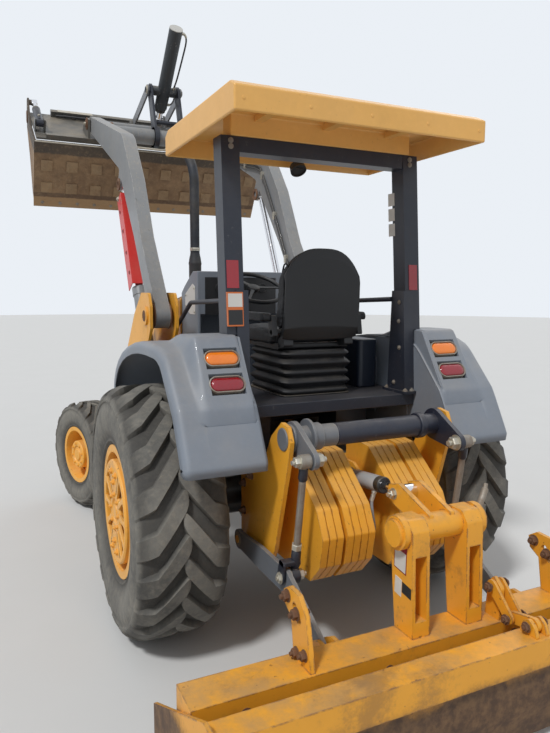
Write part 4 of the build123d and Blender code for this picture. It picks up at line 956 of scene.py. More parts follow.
# Pill: straight sides with half-round ends, in the lamp face's own plane; depth counts out of the face
def onLampFace(side, across, share, depth):
    run = podHigh - podLow
    length = np.linalg.norm(run)
    place = podLow[None] + run[None] * np.asarray(share)[:, None]
    place = place + np.asarray(depth)[:, None] * np.array([-run[1], run[0]]) / length
    return np.column_stack([side * np.asarray(across), place[:, 0] + rearAxleY, place[:, 1]])


def pillRing(side, centreX, centreShare, halfLong, halfTall, depth):
    faceLength = np.linalg.norm(podHigh - podLow)
    angle = np.linspace(0, 2 * math.pi, 40, endpoint=False)
    straight = halfLong - halfTall
    across = centreX + np.sign(np.cos(angle)) * straight + np.cos(angle) * halfTall
    up = np.sin(angle) * halfTall
    return onLampFace(side, across, centreShare + up / faceLength, np.full(len(angle), depth))


def makeLamps():
    lamp = {"halfLong": 0.076, "halfTall": 0.031, "frame": 0.007, "dome": 0.010}
    names = (("tail_lamps", "redLens", "red_lens"), ("turn_lamps", "amber", "amber_lens"))
    centreX = (fender["podLeft"] + fender["podRight"] - fender["lampMargin"]) / 2
    for (node, finish, slotName), (low, high) in zip(names, fender["lampRows"]):
        lenses, frames, backs = [], [], []
        middle = (low + high) / 2
        for side in sides:
            profile = [(1.0, -0.014), (1.0, -0.004), (0.93, 0.001), (0.75, 0.004), (0.45, 0.006),
                       (0.05, 0.0065)]
            rings = [pillRing(side, centreX, middle, lamp["halfLong"] - lamp["halfTall"] * (1 - k),
                              lamp["halfTall"] * k, depth) for k, depth in profile]
            lenses.append(skinned(rings))
            grow = lamp["frame"]
            edge = [(0.0, -0.016), (0.0, 0.0), (grow * 0.4, 0.004), (grow, 0.003), (grow * 1.4, -0.016)]
            rings = [pillRing(side, centreX, middle, lamp["halfLong"] + 0.001 + g,
                              lamp["halfTall"] + 0.001 + g, d)
                     for g, d in edge]
            frames.append(gridShape(np.stack(rings), closeRows=True, closeColumns=True))
            left = fender["podLeft"] + fender["lampInset"]
            right = fender["podRight"] - fender["lampInset"] - fender["lampMargin"]
            share = np.array([low, low, high, high])
            across = np.array([left, right, right, left])
            slab = np.stack([onLampFace(side, across, share, np.full(4, depth)) for depth in (-0.019,
                                                                                              -0.0155)])
            backs.append(gridShape(slab, closeColumns=True, caps=True))
        thing = piece(node + "_lens", lenses, finish, "chassis")
        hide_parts(node)
        piece(node + "_frames", frames, "steel", "chassis")
        piece(node + "_recess", backs, "plateDark", "chassis")


def makeFenders():
    for name, side in (("left", -1), ("right", 1)):
        skin = piece("fender_skin_" + name, fenderSurface(side), "fender", "chassis", smoothAngle=50,
                     solid=fender["wall"])
        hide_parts("fender_" + name)
        outline = [(0.560, 1.322), (0.330, 1.412), (0.060, 1.456), (-0.300, 1.462), (-0.420, 1.410),
                   (-0.595, 1.220),
                   (-0.716, 0.990), (-0.560, 0.960), (0.560, 0.960)]
        shapes = [prism(outline, side * fender["inner"], side * (fender["inner"] + 0.012), 0.02)]
        # Pressed stiffening ribs on the inner panel, and the pod's inner wall
        podWall = [(-0.600, 1.238), (-0.432, 1.510), (-0.200, 1.512), (-0.100, 1.462), (-0.300, 1.440),
                   (-0.420, 1.390)]
        shapes.append(prism(podWall, side * (fender["podLeft"] - 0.004), side * (fender["podLeft"] + 0.006),
                            0.006))
        for forward in (-0.35, -0.05, 0.25):
            rib = [(forward, 1.02), (forward + 0.05, 1.02), (forward + 0.05, 1.34), (forward, 1.34)]
            shapes.append(prism(rib, side * (fender["inner"] - 0.006), side * (fender["inner"] + 0.004),
                                0.02))
        piece("fender_panel_" + name, shapes, "fender", "chassis", bevel=0.002)
    makeLamps()


makeFenders()
print("fenders and lamps made")


# Seat, its bellows, the console's levers, the steering wheel and the exhaust


# Cushion: side-view outline rounded and carried across, its section shrinking towards both ends
def cushionShape(outline, half, radius, endPull, topDrop=0.0, dome=7):
    line = rounded(outline, radius, 6)
    middle = (line.min(0) + line.max(0)) / 2
    share = np.sin(np.linspace(-1, 1, 25) * math.pi / 2)
    rings = []
    for s in share:
        pull = 1 - endPull * abs(s) ** 5
        ring = middle + (line - middle) * pull
        ring[:, 1] -= topDrop * abs(s) ** dome * (line[:, 1] - line[:, 1].min())
        rings.append(np.column_stack([np.full(len(line), s * half), ring[:, 0] + rearAxleY, ring[:, 1]]))
    points = np.stack(rings)
    ends = [np.repeat(points[k].mean(0)[None], len(line), 0) for k in (0, -1)]
    for k, end in ((0, ends[0]), (-1, ends[1])):
        points = np.insert(points, 0 if k == 0 else len(points), 0.45 * points[k] + 0.55 * end, axis=0)
    return gridShape(points, closeColumns=True, caps=True)


# Stuffing: the closed skin is remeshed, swollen by cloth pressure with its movement capped, and kept
def stuffed(thing, cap, voxel=0.006):
    remesh = thing.modifiers.new("even", "REMESH")
    remesh.mode = "VOXEL"
    remesh.voxel_size = voxel
    cloth = thing.modifiers.new("cloth", "CLOTH")
    cloth.settings.use_pressure = True
    cloth.settings.uniform_pressure_force = 4
    cloth.settings.effector_weights.gravity = 0
    scene = bpy.context.scene
    graph = bpy.context.evaluated_depsgraph_get()
    cloth.show_viewport = False
    graph.update()
    even = bpy.data.meshes.new_from_object(thing.evaluated_get(graph))
    start = np.empty(len(even.vertices) * 3)
    even.vertices.foreach_get("co", start)
    thing.modifiers.remove(remesh)
    thing.data = even
    cloth.show_viewport = True
    for step in range(1, 21):
        scene.frame_set(step)
    graph = bpy.context.evaluated_depsgraph_get()
    swollen = np.empty_like(start)
    thing.evaluated_get(graph).data.vertices.foreach_get("co", swollen)
    thing.modifiers.remove(cloth)
    scene.frame_set(1)
    move = (swollen - start).reshape(-1, 3)
    length = np.linalg.norm(move, axis=1)[:, None]
    move *= np.minimum(1, cap / np.maximum(length, 1e-9))
    even.vertices.foreach_set("co", start + move.ravel())
    even.shade_smooth()
    soft = thing.modifiers.new("smooth", "SUBSURF")
    soft.levels = soft.render_levels = 1


# Welt: a thin tube round the cushion's edge at a share of its half width
def weltShape(outline, half, radius, side, share, topDrop, dome, endPull, thickness):
    line = rounded(outline, radius, 6)
    middle = (line.min(0) + line.max(0)) / 2
    ring = middle + (line - middle) * (1.012 - endPull * share ** 5)
    ring[:, 1] -= topDrop * share ** dome * (line[:, 1] - line[:, 1].min())
    path = np.column_stack([np.full(len(line), side * share * half), ring[:, 0] + rearAxleY, ring[:, 1]])
    return tube(path, thickness, 8, closed=True)


def makeSeat():
    seat = {"half": 0.232, "backHalf": 0.222, "radius": 0.028, "cap": 0.010, "welt": 0.0045,
            "topDrop": 0.27,
            "dome": 3}
    body = bodyOf("seat")
    pan = [(-0.185, 1.446), (0.205, 1.446), (0.236, 1.482), (0.214, 1.530), (0.05, 1.516), (-0.10, 1.512),
           (-0.175, 1.500)]
    back = [(-0.236, 1.500), (-0.176, 1.522), (-0.196, 1.700), (-0.212, 1.880), (-0.236, 1.932),
            (-0.272, 1.926),
            (-0.284, 1.880), (-0.272, 1.700)]
    for name, outline, half, drop in (("seat_pan", pan, seat["half"], 0.0),
                                      ("seat_backrest", back, seat["backHalf"], seat["topDrop"])):
        shape = cushionShape(outline, half, seat["radius"], 0.10, drop, seat["dome"])
        thing = piece(name, shape, "vinyl", body, smoothAngle=80)
        stuffed(thing, seat["cap"])
        if name == "seat_pan":
            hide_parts("seat")
        welts = [weltShape(outline, half, seat["radius"], side, 0.86, drop, seat["dome"], 0.10,
                           seat["welt"])
                 for side in sides]
        piece(name + "_welts", welts, "vinyl", body)
    shell = [(-0.262, 1.470), (-0.240, 1.470), (-0.262, 1.560), (-0.284, 1.700), (-0.291, 1.880),
             (-0.278, 1.925),
             (-0.292, 1.930), (-0.300, 1.880), (-0.296, 1.700), (-0.288, 1.540)]
    tray = [(-0.198, 1.420), (0.214, 1.420), (0.232, 1.452), (-0.198, 1.452)]
    hinge = [(-0.262, 1.440), (-0.190, 1.430), (-0.180, 1.470), (-0.250, 1.500)]
    frames = [cushionShape(shell, 0.214, 0.006, 0.05, seat["topDrop"], seat["dome"]),
              prism(tray, -0.205, 0.205, 0.012)]
    for side in sides:
        frames.append(prism(hinge, side * 0.150, side * 0.200, 0.012))
        frames.append(prism([(-0.255, 1.490), (-0.215, 1.490), (-0.195, 1.590), (-0.235, 1.600)],
                            side * 0.234, side * 0.262, 0.012))
        frames.append(bar((side * 0.205, rearAxleY - 0.232, 1.512),
                          (side * 0.262, rearAxleY - 0.232, 1.512), 0.014))
        arm = [(-0.226, 1.566), (0.050, 1.566), (0.058, 1.588), (0.046, 1.608), (-0.214, 1.608),
               (-0.230, 1.590)]
        thing = piece("seat_arm_" + ("left" if side < 0 else "right"), armShape(arm, side), "vinyl", body,
                      smoothAngle=80)
        soft = thing.modifiers.new("smooth", "SUBSURF")
        soft.levels = soft.render_levels = 1
    piece("seat_shell", frames, "plastic", body, bevel=0.002)


def armShape(outline, side):
    points, faces = cushionShape(outline, 0.031, 0.014, 0.18)
    return points + np.array([side * 0.278, 0, 0]), faces


# Rounded rectangle in plan, as points going round
def planRing(left, right, back, front, radius, height):
    outline = rounded([(left, back), (right, back), (right, front), (left, front)], radius, 7)
    return np.column_stack([outline[:, 0], outline[:, 1] + rearAxleY, np.full(len(outline), height)])


def makeBellows():
    fold = {"low": 1.180, "rise": 0.048, "folds": 5, "depth": 0.020, "sag": 0.009, "ripple": 0.004}
    rings = []
    for k in range(fold["folds"]):
        start = fold["low"] + k * fold["rise"]
        grow = 0.010 if k % 2 else 0.003
        for share, inset in ((0.03, 0.96), (0.13, 0.8), (0.26, 0.42), (0.40, 0.1), (0.52, 0.0),
                             (0.64, 0.14),
                             (0.78, 0.5), (0.90, 0.84)):
            pull = inset * fold["depth"] - grow
            ring = planRing(-0.2 + pull, 0.2 - pull, -0.25 + pull, 0.19 - pull, 0.06,
                            start + share * fold["rise"])
            turn = np.linspace(0, 2 * math.pi, len(ring), endpoint=False)
            free = math.sin(math.pi * (k + share) / fold["folds"])
            wave = np.sin(2 * turn + 0.7) * 0.6 + np.sin(3 * turn + 1.9 + 0.5 * k) * 0.4
            ring[:, 2] += wave * fold["sag"] * free
            swell = 1 - (np.cos(7 * turn + 2.1 * k) + 1) * fold["ripple"] * free * (1 - inset) / 0.4
            ring[:, 0] *= swell
            rings.append(ring)
    shape = skinned(rings)
    thing = piece("seat_bellows", shape, "bellows", bodyOf("seat_suspension"), smoothAngle=50)
    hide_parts("seat_suspension")
    flange = np.stack([planRing(-0.205, 0.205, -0.255, 0.195, 0.05, z) for z in (1.1805, 1.188)])
    piece("seat_base_flange", gridShape(flange, closeColumns=True, caps=True), "black",
          bodyOf("seat_suspension"), bevel=0.002)


def makeLevers():
    lever = {"first": 0.334, "pitch": 0.026, "forward": 0.120, "low": 1.450}
    body = bodyOf("control_levers")
    knobs, stems, boots = [], [], []
    for k in range(4):
        x = lever["first"] + k * lever["pitch"]
        foot = np.array([x, rearAxleY + lever["forward"], lever["low"]])
        up = (0, 0, 1)
        stems.append(turned([(0, 0), (0, 0.005), (0.188, 0.005), (0.188, 0)], foot, up, 16))
        boots.append(turned([(0, 0), (0, 0.0118), (0.006, 0.0118), (0.010, 0.009), (0.014, 0.0105),
                             (0.019, 0.0078),
                             (0.024, 0.009), (0.034, 0.0056), (0.034, 0)], foot, up, 20))
        knobs.append(turned([(0.180, 0), (0.180, 0.006), (0.188, 0.0085), (0.206, 0.0102), (0.226, 0.012),
                             (0.240, 0.0115), (0.248, 0.008), (0.2495, 0)], foot, up, 24))
    thing = piece("lever_knobs", knobs, "knob", body)
    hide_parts("control_levers")
    piece("lever_stems", stems, "zinc", body)
    piece("lever_boots", boots, "plastic", body)


def makeSteering():
    wheel = {"radius": 0.186, "grip": 0.0135, "head": (0.600, 1.720), "foot": (0.800, 1.641), "grips": 36}
    head = sidePoint(0, *wheel["head"])
    normal = np.array([0, -0.084, 0.156]) / math.hypot(0.084, 0.156)
    along, first, second = crossDirections(normal)
    angle = np.linspace(0, 2 * math.pi, 144, endpoint=False)
    rim = head + normal * 0.016 + wheel["radius"] * (np.cos(angle)[:, None] * first + np.sin(angle)[:,
                                                                                                    None] * second)
    thickness = wheel["grip"] * (1 - 0.07 * np.abs(np.sin(angle * wheel["grips"] / 2)) ** 6)
    body = bodyOf("steering_wheel")
    thing = piece("steering_rim", tube(rim, thickness, 14, closed=True), "plastic", body)
    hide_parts("steering_wheel")
    spokes = []
    for turn in (0, 2 * math.pi / 3, 4 * math.pi / 3):
        out = math.cos(turn) * first + math.sin(turn) * second
        cross = np.cross(normal, out)
        rings = []
        for reach, width, height in ((0.020, 0.016, 0.018), (0.060, 0.012, 0.017), (0.120, 0.009, 0.016),
                                     (0.184, 0.011, 0.016)):
            spot = head + out * reach + normal * height
            rings.append([spot + cross * a * width + normal * b * 0.004 for a, b in
                          ((-1, 0), (-0.7, 1), (0.7, 1), (1, 0), (0.7, -1), (-0.7, -1))])
        spokes.append(gridShape(np.array(rings), closeColumns=True, caps=True))
    hub = [(-0.006, 0), (-0.006, 0.026), (0.004, 0.038), (0.014, 0.040), (0.024, 0.036), (0.029, 0.022),
           (0.030, 0)]
    piece("steering_hub", spokes + [turned(hub, head, normal, 36)], "plastic", body)
    start, end = sidePoint(0, *wheel["foot"]), head
    length = np.linalg.norm(end - start)
    column = [(0, 0), (0, 0.0238), (0.012, 0.0238), (0.030, 0.0215), (length * 0.55, 0.0215),
              (length * 0.6, 0.0235),
              (length - 0.03, 0.0235), (length - 0.012, 0.018), (length - 0.004, 0.016), (length - 0.004,
                                                                                          0)]
    piece("steering_column", turned(column, start, end - start, 32), "plastic", body)


def makeExhaust():
    stack = {"x": -0.170, "forward": 1.240, "pipe": 0.0325}
    x, y = stack["x"], rearAxleY + stack["forward"]
    body = bodyOf("exhaust")
    upright = [(x, y, z) for z in (1.905, 2.0, 2.1, 2.2, 2.3, 2.4, 2.46)]
    bend = smoothLine([(x, y, 2.46), (x - 0.001, y + 0.003, 2.50), (x - 0.006, y + 0.015, 2.555),
                       (x - 0.0135, y + 0.034, 2.602), (x - 0.022, y + 0.056, 2.636)], 3)
    path = np.array(upright[:-1] + bend.tolist())
    grid = tube(path, stack["pipe"], 32)[0].reshape(len(path), 32, 3)
    # The tip's last ring slants, and the bore goes back in from it
    centre = grid[-1].mean(0)
    direction = path[-1] - path[-2]
    direction /= np.linalg.norm(direction)
    lean = (grid[-1] - centre) @ np.array([0, -1.0, 0])
    grid[-1] += np.outer(lean * 0.45, direction)
    bore = []
    for k in (-1, -2, -4):
        ring = grid[k]
        bore.append(ring.mean(0) + (ring - ring.mean(0)) * 0.9)
    pipe = gridShape(np.concatenate([grid, np.stack(bore)]), closeColumns=True, caps=True)
    can = [(0, 0), (0, 0.0435), (0.25, 0.0435), (0.258, 0.0455), (0.266, 0.0455), (0.274, 0.0435),
           (0.300, 0.040),
           (0.325, 0.034), (0.335, 0.0328), (0.335, 0)]
    lower = turned(can, (x, y, 1.640), upward, 40)
    seam = turned([(0.120, 0.0434), (0.120, 0.0439), (0.126, 0.0439), (0.126, 0.0434)], (x, y, 1.640),
                  upward, 40)
    thing = piece("exhaust_pipe", [pipe, lower, seam], "stack", body, smoothAngle=50)
    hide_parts("exhaust")
    band = turned([(0, 0.0325), (0, 0.0350), (0.022, 0.0350), (0.022, 0.0325)], (x, y, 1.990), upward, 40)
    bolt = bar((x - 0.030, y - 0.034, 2.001), (x + 0.020, y - 0.040, 2.001), 0.004)
    piece("exhaust_clamp", [band, bolt], "zinc", body)


makeSeat()
makeBellows()
makeLevers()
makeSteering()
makeExhaust()
print("operator's place and exhaust made")


# Rear hitch: rockshaft, lift rods, top link cylinder with its hoses, bolts and plates


# Outline in side view round two circles, straight between them
def linkOutline(first, firstRadius, second, secondRadius, steps=16):
    first, second = np.array(first), np.array(second)
    along = second - first
    lead = math.atan2(along[1], along[0])
    lean = math.acos((firstRadius - secondRadius) / np.linalg.norm(along))
    outline = []
    for centre, radius, start, end in ((first, firstRadius, lead + lean, lead + 2 * math.pi - lean),
                                       (second, secondRadius, lead - lean, lead + lean)):
        angle = np.linspace(start, end, steps)
        outline.append(centre + radius * np.column_stack([np.cos(angle), np.sin(angle)]))
    return np.concatenate(outline)


# Hose that hangs between its fittings, along a smooth line through the route's points
def hose(name, route, diameter, finish, body, other=None, blendEnds=None):
    path = smoothLine(route, 6)
    thing = piece(name, tube(path, diameter / 2, 14), finish, None if other else body, smoothAngle=60)
    if other:
        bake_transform(thing)


# Rockshaft in grey paint: the tube out to lit, the left arm and the left collars take the grey finish; the rest of
# the tube, the right arm and its collar take the navy finish, which is painted shade on the same paint
def makeRockshaft():
    rock = {"axis": pins["rockAxis"], "end": pins["rockEnd"], "arm": 0.365, "thick": 0.024, "pin": 0.014,
            "tube": 0.050, "tubeEnd": 0.436, "lit": -0.180}
    body = bodyOf("rockshaft")
    axis, end = rock["axis"], rock["end"]
    greys, paintedShadeShapes, pale, boreShadeDiscs = [], [], [], []
    greys.append(boss(-rock["tubeEnd"], rock["lit"], axis, rock["tube"]))
    paintedShadeShapes.append(boss(rock["lit"], rock["tubeEnd"], axis, rock["tube"]))
    greys.append(collar(-0.318, -0.304, axis, 0.080, 0.048))
    greys.append(collar(-0.304, -0.254, axis, 0.060, 0.048, 0.004))
    paintedShadeShapes.append(collar(0.262, 0.298, axis, 0.060, 0.048, 0.004))
    for side, target in ((-1, greys), (1, paintedShadeShapes)):
        target.append(prism(linkOutline(axis, 0.074, end, 0.040), side * rock["arm"],
                            side * (rock["arm"] + rock["thick"])))
        target.append(collar(side * 0.389, side * 0.401, axis, 0.062, 0.034))
        # A thin black disc in each arm collar's bore: painted shade standing for the bore
        boreShadeDiscs.append(boss(side * 0.389, side * 0.3915, axis, 0.0335))
        target.append(boss(side * 0.389, side * 0.441, end, rock["pin"]))
        pale.append(sideNut(side * rock["arm"], end, -side, 0.050))
        pale.append(sideNut(side * 0.439, end, side, 0.038))
        pale.append(collar(side * 0.391, side * 0.396, end, 0.026, 0.0138))
    thing = piece("rock_arm_grey", greys, "greyMetal", body, bevel=0.003)
    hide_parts("rockshaft")
    piece("rock_arm_shaded", paintedShadeShapes, "paintedShadeNavy", body, bevel=0.003)
    piece("rock_arm_nuts", pale, "zinc", body, smoothAngle=30)
    piece("rock_arm_bore_painted_shade", boreShadeDiscs, "black", body)


def makeTopLink():
    link = {"front": pins["topFront"], "rear": pins["topRear"], "radius": 0.037, "start": 0.052,
            "gland": 0.282,
            "end": 0.320, "rod": 0.0184}
    body = bodyOf("top_link_barrel")
    front, rear = sidePoint(0, *link["front"]), sidePoint(0, *link["rear"])
    along = unit(rear - front)
    r = link["radius"]
    tubeLine = [(link["start"], 0), (link["start"], r - 0.006), (link["start"] + 0.008, r),
                (link["gland"], r),
                (link["gland"], 0)]
    thing = piece("top_link_tube", turned(tubeLine, front, along, 40), "paleGrey", body)
    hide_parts("top_link_barrel")
    base = [collar(-0.034, 0.034, link["front"], 0.034, 0.0166, 0.003),
            turned([(0.014, 0), (0.014, 0.026), (0.030, 0.030), (0.050, 0.0345), (0.056, 0.0345),
                    (0.056, 0)],
                   front, along, 32)]
    piece("top_link_base", base, "charcoal", body, bevel=0.001)
    g, e = link["gland"], link["end"]
    gland = [(g, 0), (g, r - 0.001), (g + 0.003, r), (e - 0.004, r), (e, r - 0.004),
             (e, link["rod"] + 0.006),
             (e - 0.003, link["rod"]), (e - 0.05, link["rod"]), (e - 0.05, 0)]
    piece("top_link_gland", turned(gland, front, along, 40), "black", body)
    fittings = []
    ports = {"front": (front + along * 0.080, unit((-0.024, 0, -0.036))),
             "rear": (front + along * 0.262, unit((-0.014, 0, -0.040)))}
    for spot, out in ports.values():
        fittings.append(bar(spot + out * 0.030, spot + out * 0.046, 0.013, 16))
        fittings.append(bar(spot + out * 0.044, spot + out * 0.056, 0.0095, 6))
    piece("top_link_ports", fittings, "zinc", body, smoothAngle=30)
    # Each hose hangs in one slack bight and runs forward to its union on the frame's cross plate
    tail = [(-0.530, 0.537), (-0.475, 0.567), (-0.421, 0.615)]
    bights = [("front", -0.060, [(-0.640, 0.722), (-0.655, 0.655), (-0.643, 0.592), (-0.598, 0.550)]),
              ("rear", -0.036,
               [(-0.822, 0.742), (-0.838, 0.680), (-0.828, 0.615), (-0.790, 0.565), (-0.730, 0.535),
                (-0.660, 0.522),
                (-0.592, 0.522)])]
    for end, x, bight in bights:
        name = "top_link_hose_" + end
        spot, out = ports[end]
        start = spot + out * 0.054
        route = [start, start + out * 0.030 + (0, -0.003, 0)] + [sidePoint(x,
                                                                           *point) for point in bight + tail]
        hose(name, np.array(route), 0.0145, "paleHose", body, bodyOf("rear_frame"),
             (sidePoint(0, -0.70, 0.70), sidePoint(0, -0.45, 0.62)))
        sleeve = bar(start, start + out * 0.030, 0.0102, 16)
        piece(name + "_ferrule", sleeve, "zinc", body)


def makeHitchFixings():
    # Lift rods' forks and bolts
    body = bodyOf("lift_rods")
    top, foot = pins["rockEnd"], pins["liftRodFoot"]
    shapes, nuts = [], []
    for side in sides:
        start, end = sidePoint(side * 0.417, *top), sidePoint(side * 0.417, *foot)
        along = unit(end - start)
        shapes.append(turned([(0.030, 0), (0.030, 0.019), (0.075, 0.020), (0.085, 0.0155), (0.085, 0)],
                             start, along, 20))
        shapes.append(turned([(0.400, 0), (0.400, 0.0158), (0.408, 0.021), (0.470, 0.021), (0.482, 0.017),
                              (0.482, 0)],
                             start, along, 20))
        # Fork that straddles the lower link: an eye inside it, a cheek outside it and a bridge over both
        shapes.append(collar(side * 0.400, side * 0.440, foot, 0.037, 0.017, 0.005))
        up = unit(np.array(top) - foot)
        across = np.array([up[1], -up[0]])
        cheek = [tuple(np.array(foot) + up * a + across * b) for a, b in
                 ((-0.026, -0.014), (-0.026, 0.014), (0.0, 0.030), (0.070, 0.022), (0.080, 0.014),
                  (0.080, -0.014),
                  (0.070, -0.022), (0.0, -0.030))]
        shapes.append(prism(cheek, side * 0.474, side * 0.484, 0.006))
        bridge = [tuple(np.array(foot) + up * a + across * b) for a, b in
                  ((0.058, -0.020), (0.058, 0.020), (0.078, 0.018), (0.078, -0.018))]
        shapes.append(prism(bridge, side * 0.402, side * 0.484, 0.004))
        nuts.append(bar(start + along * 0.372, start + along * 0.398, 0.023, 6))
        nuts.append(sideNut(side * 0.400, foot, -side, 0.040))
        nuts.append(sideNut(side * 0.484, foot, side, 0.036, 0.012))
    piece("lift_rod_forks", shapes, "charcoal", body)
    piece("lift_rod_nuts", nuts, "zinc", body, smoothAngle=30)

    # Lower links' front and rear balls
    body = bodyOf("lower_links")
    shapes, nuts = [], []
    for side in sides:
        for point in (pins["lowerFront"], pins["lowerRear"]):
            shapes.append(collar(side * 0.444, side * 0.472, point, 0.036, 0.0185, 0.004))
        nuts.append(sideNut(side * 0.468, foot, side, 0.020, 0.005))
    piece("lower_link_balls", shapes, "steel", body)
    piece("lower_link_nuts", nuts, "zinc", body, smoothAngle=30)

    # Rear frame: bolts on the side plates and the top link's pin
    body = bodyOf("rear_frame")
    bolts = []
    for side in sides:
        for point in ((-0.290, 0.640), (-0.290, 0.780), (-0.380, 0.840)):
            bolts.append(sideNut(side * 0.430, point, side, 0.030))
        bolts.append(sideNut(side * 0.054, pins["topFront"], side, 0.030))
    piece("rear_frame_bolts", bolts, "rusty", body, smoothAngle=30)


makeRockshaft()
makeTopLink()
makeHitchFixings()
print("hitch made")


# Loader: the bucket's fittings, its cylinder's lines, pins and the arms' fittings

# Side-view point given in the level bucket's own directions from the arm tips
def onBucket(forward, height):
    c, s = math.cos(dumpTurn), math.sin(dumpTurn)
    return tuple(np.array(pins["armTip"]) + (forward * c - height * s, forward * s + height * c))


def makeBucketFittings():
    tip, pivot, pin, base = pins["armTip"], onBucket(0.150, 0.520), onBucket(0.030, 0.560), onBucket(0.055,
                                                                                                     0.060)
    rusty, pale, steel = [], [], []
    for side in sides:
        rusty.append(boss(side * 1.0655, side * 1.0725, pivot, 0.056))
        rusty.append(collar(side * 0.614, side * 0.622, tip, 0.052, 0.0262))
        rusty.append(boss(side * 0.614, side * 0.630, tip, 0.030))
        pale.append(sideNut(side * 0.630, tip, side, 0.022, 0.010))
        steel.append(boss(side * 0.452, side * 0.470, tip, 0.034))
    bucketBody = bodyOf("bucket_back")
    piece("bucket_pins", rusty, "rusty", bucketBody)
    piece("bucket_pin_nuts", pale, "zinc", bucketBody, smoothAngle=30)
    piece("bucket_pin_heads", steel, "steel", bucketBody)

    # Pale ledge plates on the top rib, and a line along the rib with its clips
    ledge = [onBucket(0.0705, 0.514), onBucket(0.0745, 0.514), onBucket(0.0745, 0.576),
             onBucket(0.0705, 0.576)]
    plates = [prism(ledge, -0.800, -0.480), prism(ledge, 0.480, 0.800)]
    piece("bucket_ledge", plates, "paleSteel", bucketBody, bevel=0.001)
    line = [(x, *onBucket(a, b)) for x, a,
            b in ((-0.820, 0.104, 0.492), (-0.700, 0.100, 0.488), (-0.3, 0.100, 0.490),
                                                 (0.3, 0.100, 0.490), (0.700, 0.100, 0.488), (0.820, 0.104,
                                                                                              0.492))]
    path = smoothLine([sidePoint(*point) for point in line], 6)
    piece("bucket_line", tube(path, 0.009, 12), "hose", bucketBody)
    clips, corner = [], onBucket(0.112, 0.492)
    for x in (-0.66, -0.33, 0.0, 0.33, 0.66):
        clips.append(blockShape((x - 0.012, *corner), (x + 0.012, corner[0] + 0.016, corner[1] + 0.016)))
    piece("bucket_line_clips", clips, "zinc", bucketBody, bevel=0.001)

    # Clam: pale seam bead and bolts along its edge
    clamBody = bodyOf("clam")
    seam = [sidePoint(x, *onBucket(0.1535, -0.1275)) for x in (-1.060, 1.060)]
    bead = bar(seam[0], seam[1], 0.0055, 12)
    piece("clam_seam", bead, "paleSteel", clamBody)
    bolts = []
    for k in range(14):
        x = -0.99 + k * 1.98 / 13
        spot = sidePoint(x, *onBucket(0.700, -0.1302))
        down = np.array([0, math.sin(dumpTurn), -math.cos(dumpTurn)])
        bolts.append(turned([(0, 0), (0, 0.015), (0.003, 0.013), (0.004, 0.006), (0.004, 0)], spot, down,
                            16))
    piece("clam_edge_bolts", bolts, "steel", clamBody)

    # Clam cylinders: glands and hose ports
    barrelBody = bodyOf("clam_barrels")
    start, end = sidePoint(0, *base), sidePoint(0, *pin)
    along = unit(end - start)
    glands, ports = [], []
    for side in sides:
        shift = np.array([side * 1.003, 0, 0])
        glands.append(turned([(0.295, 0.0335), (0.295, 0.0348), (0.326, 0.0348), (0.3305, 0.031),
                              (0.3305, 0.0186),
                              (0.295, 0.0186)], start + shift, along, 32))
        across = np.array([0, -along[2], along[1]])
        ports.append(bar(start + shift + along * 0.075 + across * 0.030,
                         start + shift + along * 0.075 + across * 0.047,
                         0.010, 12))
    piece("clam_glands", glands, "black", barrelBody)
    piece("clam_ports", ports, "zinc", barrelBody)


def makeBucketCylinder():
    body = bodyOf("bucket_barrel")
    top = sidePoint(0, *pins["trunnion"])
    along = unit(sidePoint(0, *pins["rodAnchor"]) - top)
    back = backOf(along)
    side = np.array([1.0, 0, 0])
    ports, sleeves = [], []
    for reach in (-0.525, 0.118):
        ports.append(bar(top + along * reach + side * 0.048, top + along * reach + side * 0.076, 0.012, 16))
    route = [top + along * a + side * s + back * b for a, s, b in
             ((-0.525, 0.076, 0.0), (-0.506, 0.0905, 0.004), (-0.460, 0.100, 0.012), (-0.36, 0.096, 0.020),
              (-0.24, 0.090, 0.024), (-0.14, 0.086, 0.020), (-0.06, 0.080, 0.012))]
    hose("bucket_cylinder_hose", route, 0.014, "hose", body)
    sleeves.append(bar(route[0], route[0] + (route[1] - route[0]) * 1.3, 0.0095, 14))
    sleeves.append(bar(route[-1], route[-1] + along * 0.030 - side * 0.004, 0.0095, 14))
    loop = [top + along * a + side * s + back * b for a, s, b in
            ((0.118, 0.076, 0.0), (0.101, 0.088, 0.005), (0.076, 0.0965, 0.008), (0.042, 0.100, 0.010),
             (0.0, 0.097, 0.012), (-0.045, 0.089, 0.012), (-0.075, 0.080, 0.010))]
    hose("bucket_cylinder_loop", loop, 0.014, "paleHose", body)
    piece("bucket_cylinder_ports", ports + sleeves, "zinc", body, smoothAngle=30)
    rings = [turned([(0.150, 0.045), (0.150, 0.0535), (0.156, 0.0535), (0.158, 0.0455), (0.180, 0.0455),
                     (0.1855, 0.040), (0.1855, 0.030), (0.150, 0.030)], top, along, 40)]
    piece("bucket_cylinder_gland", rings, "black", body)
    piece("bucket_trunnion_nuts", pairedNuts(0.151, [pins["trunnion"]], 0.052, 0.008), "paleSteel", body,
          smoothAngle=30)


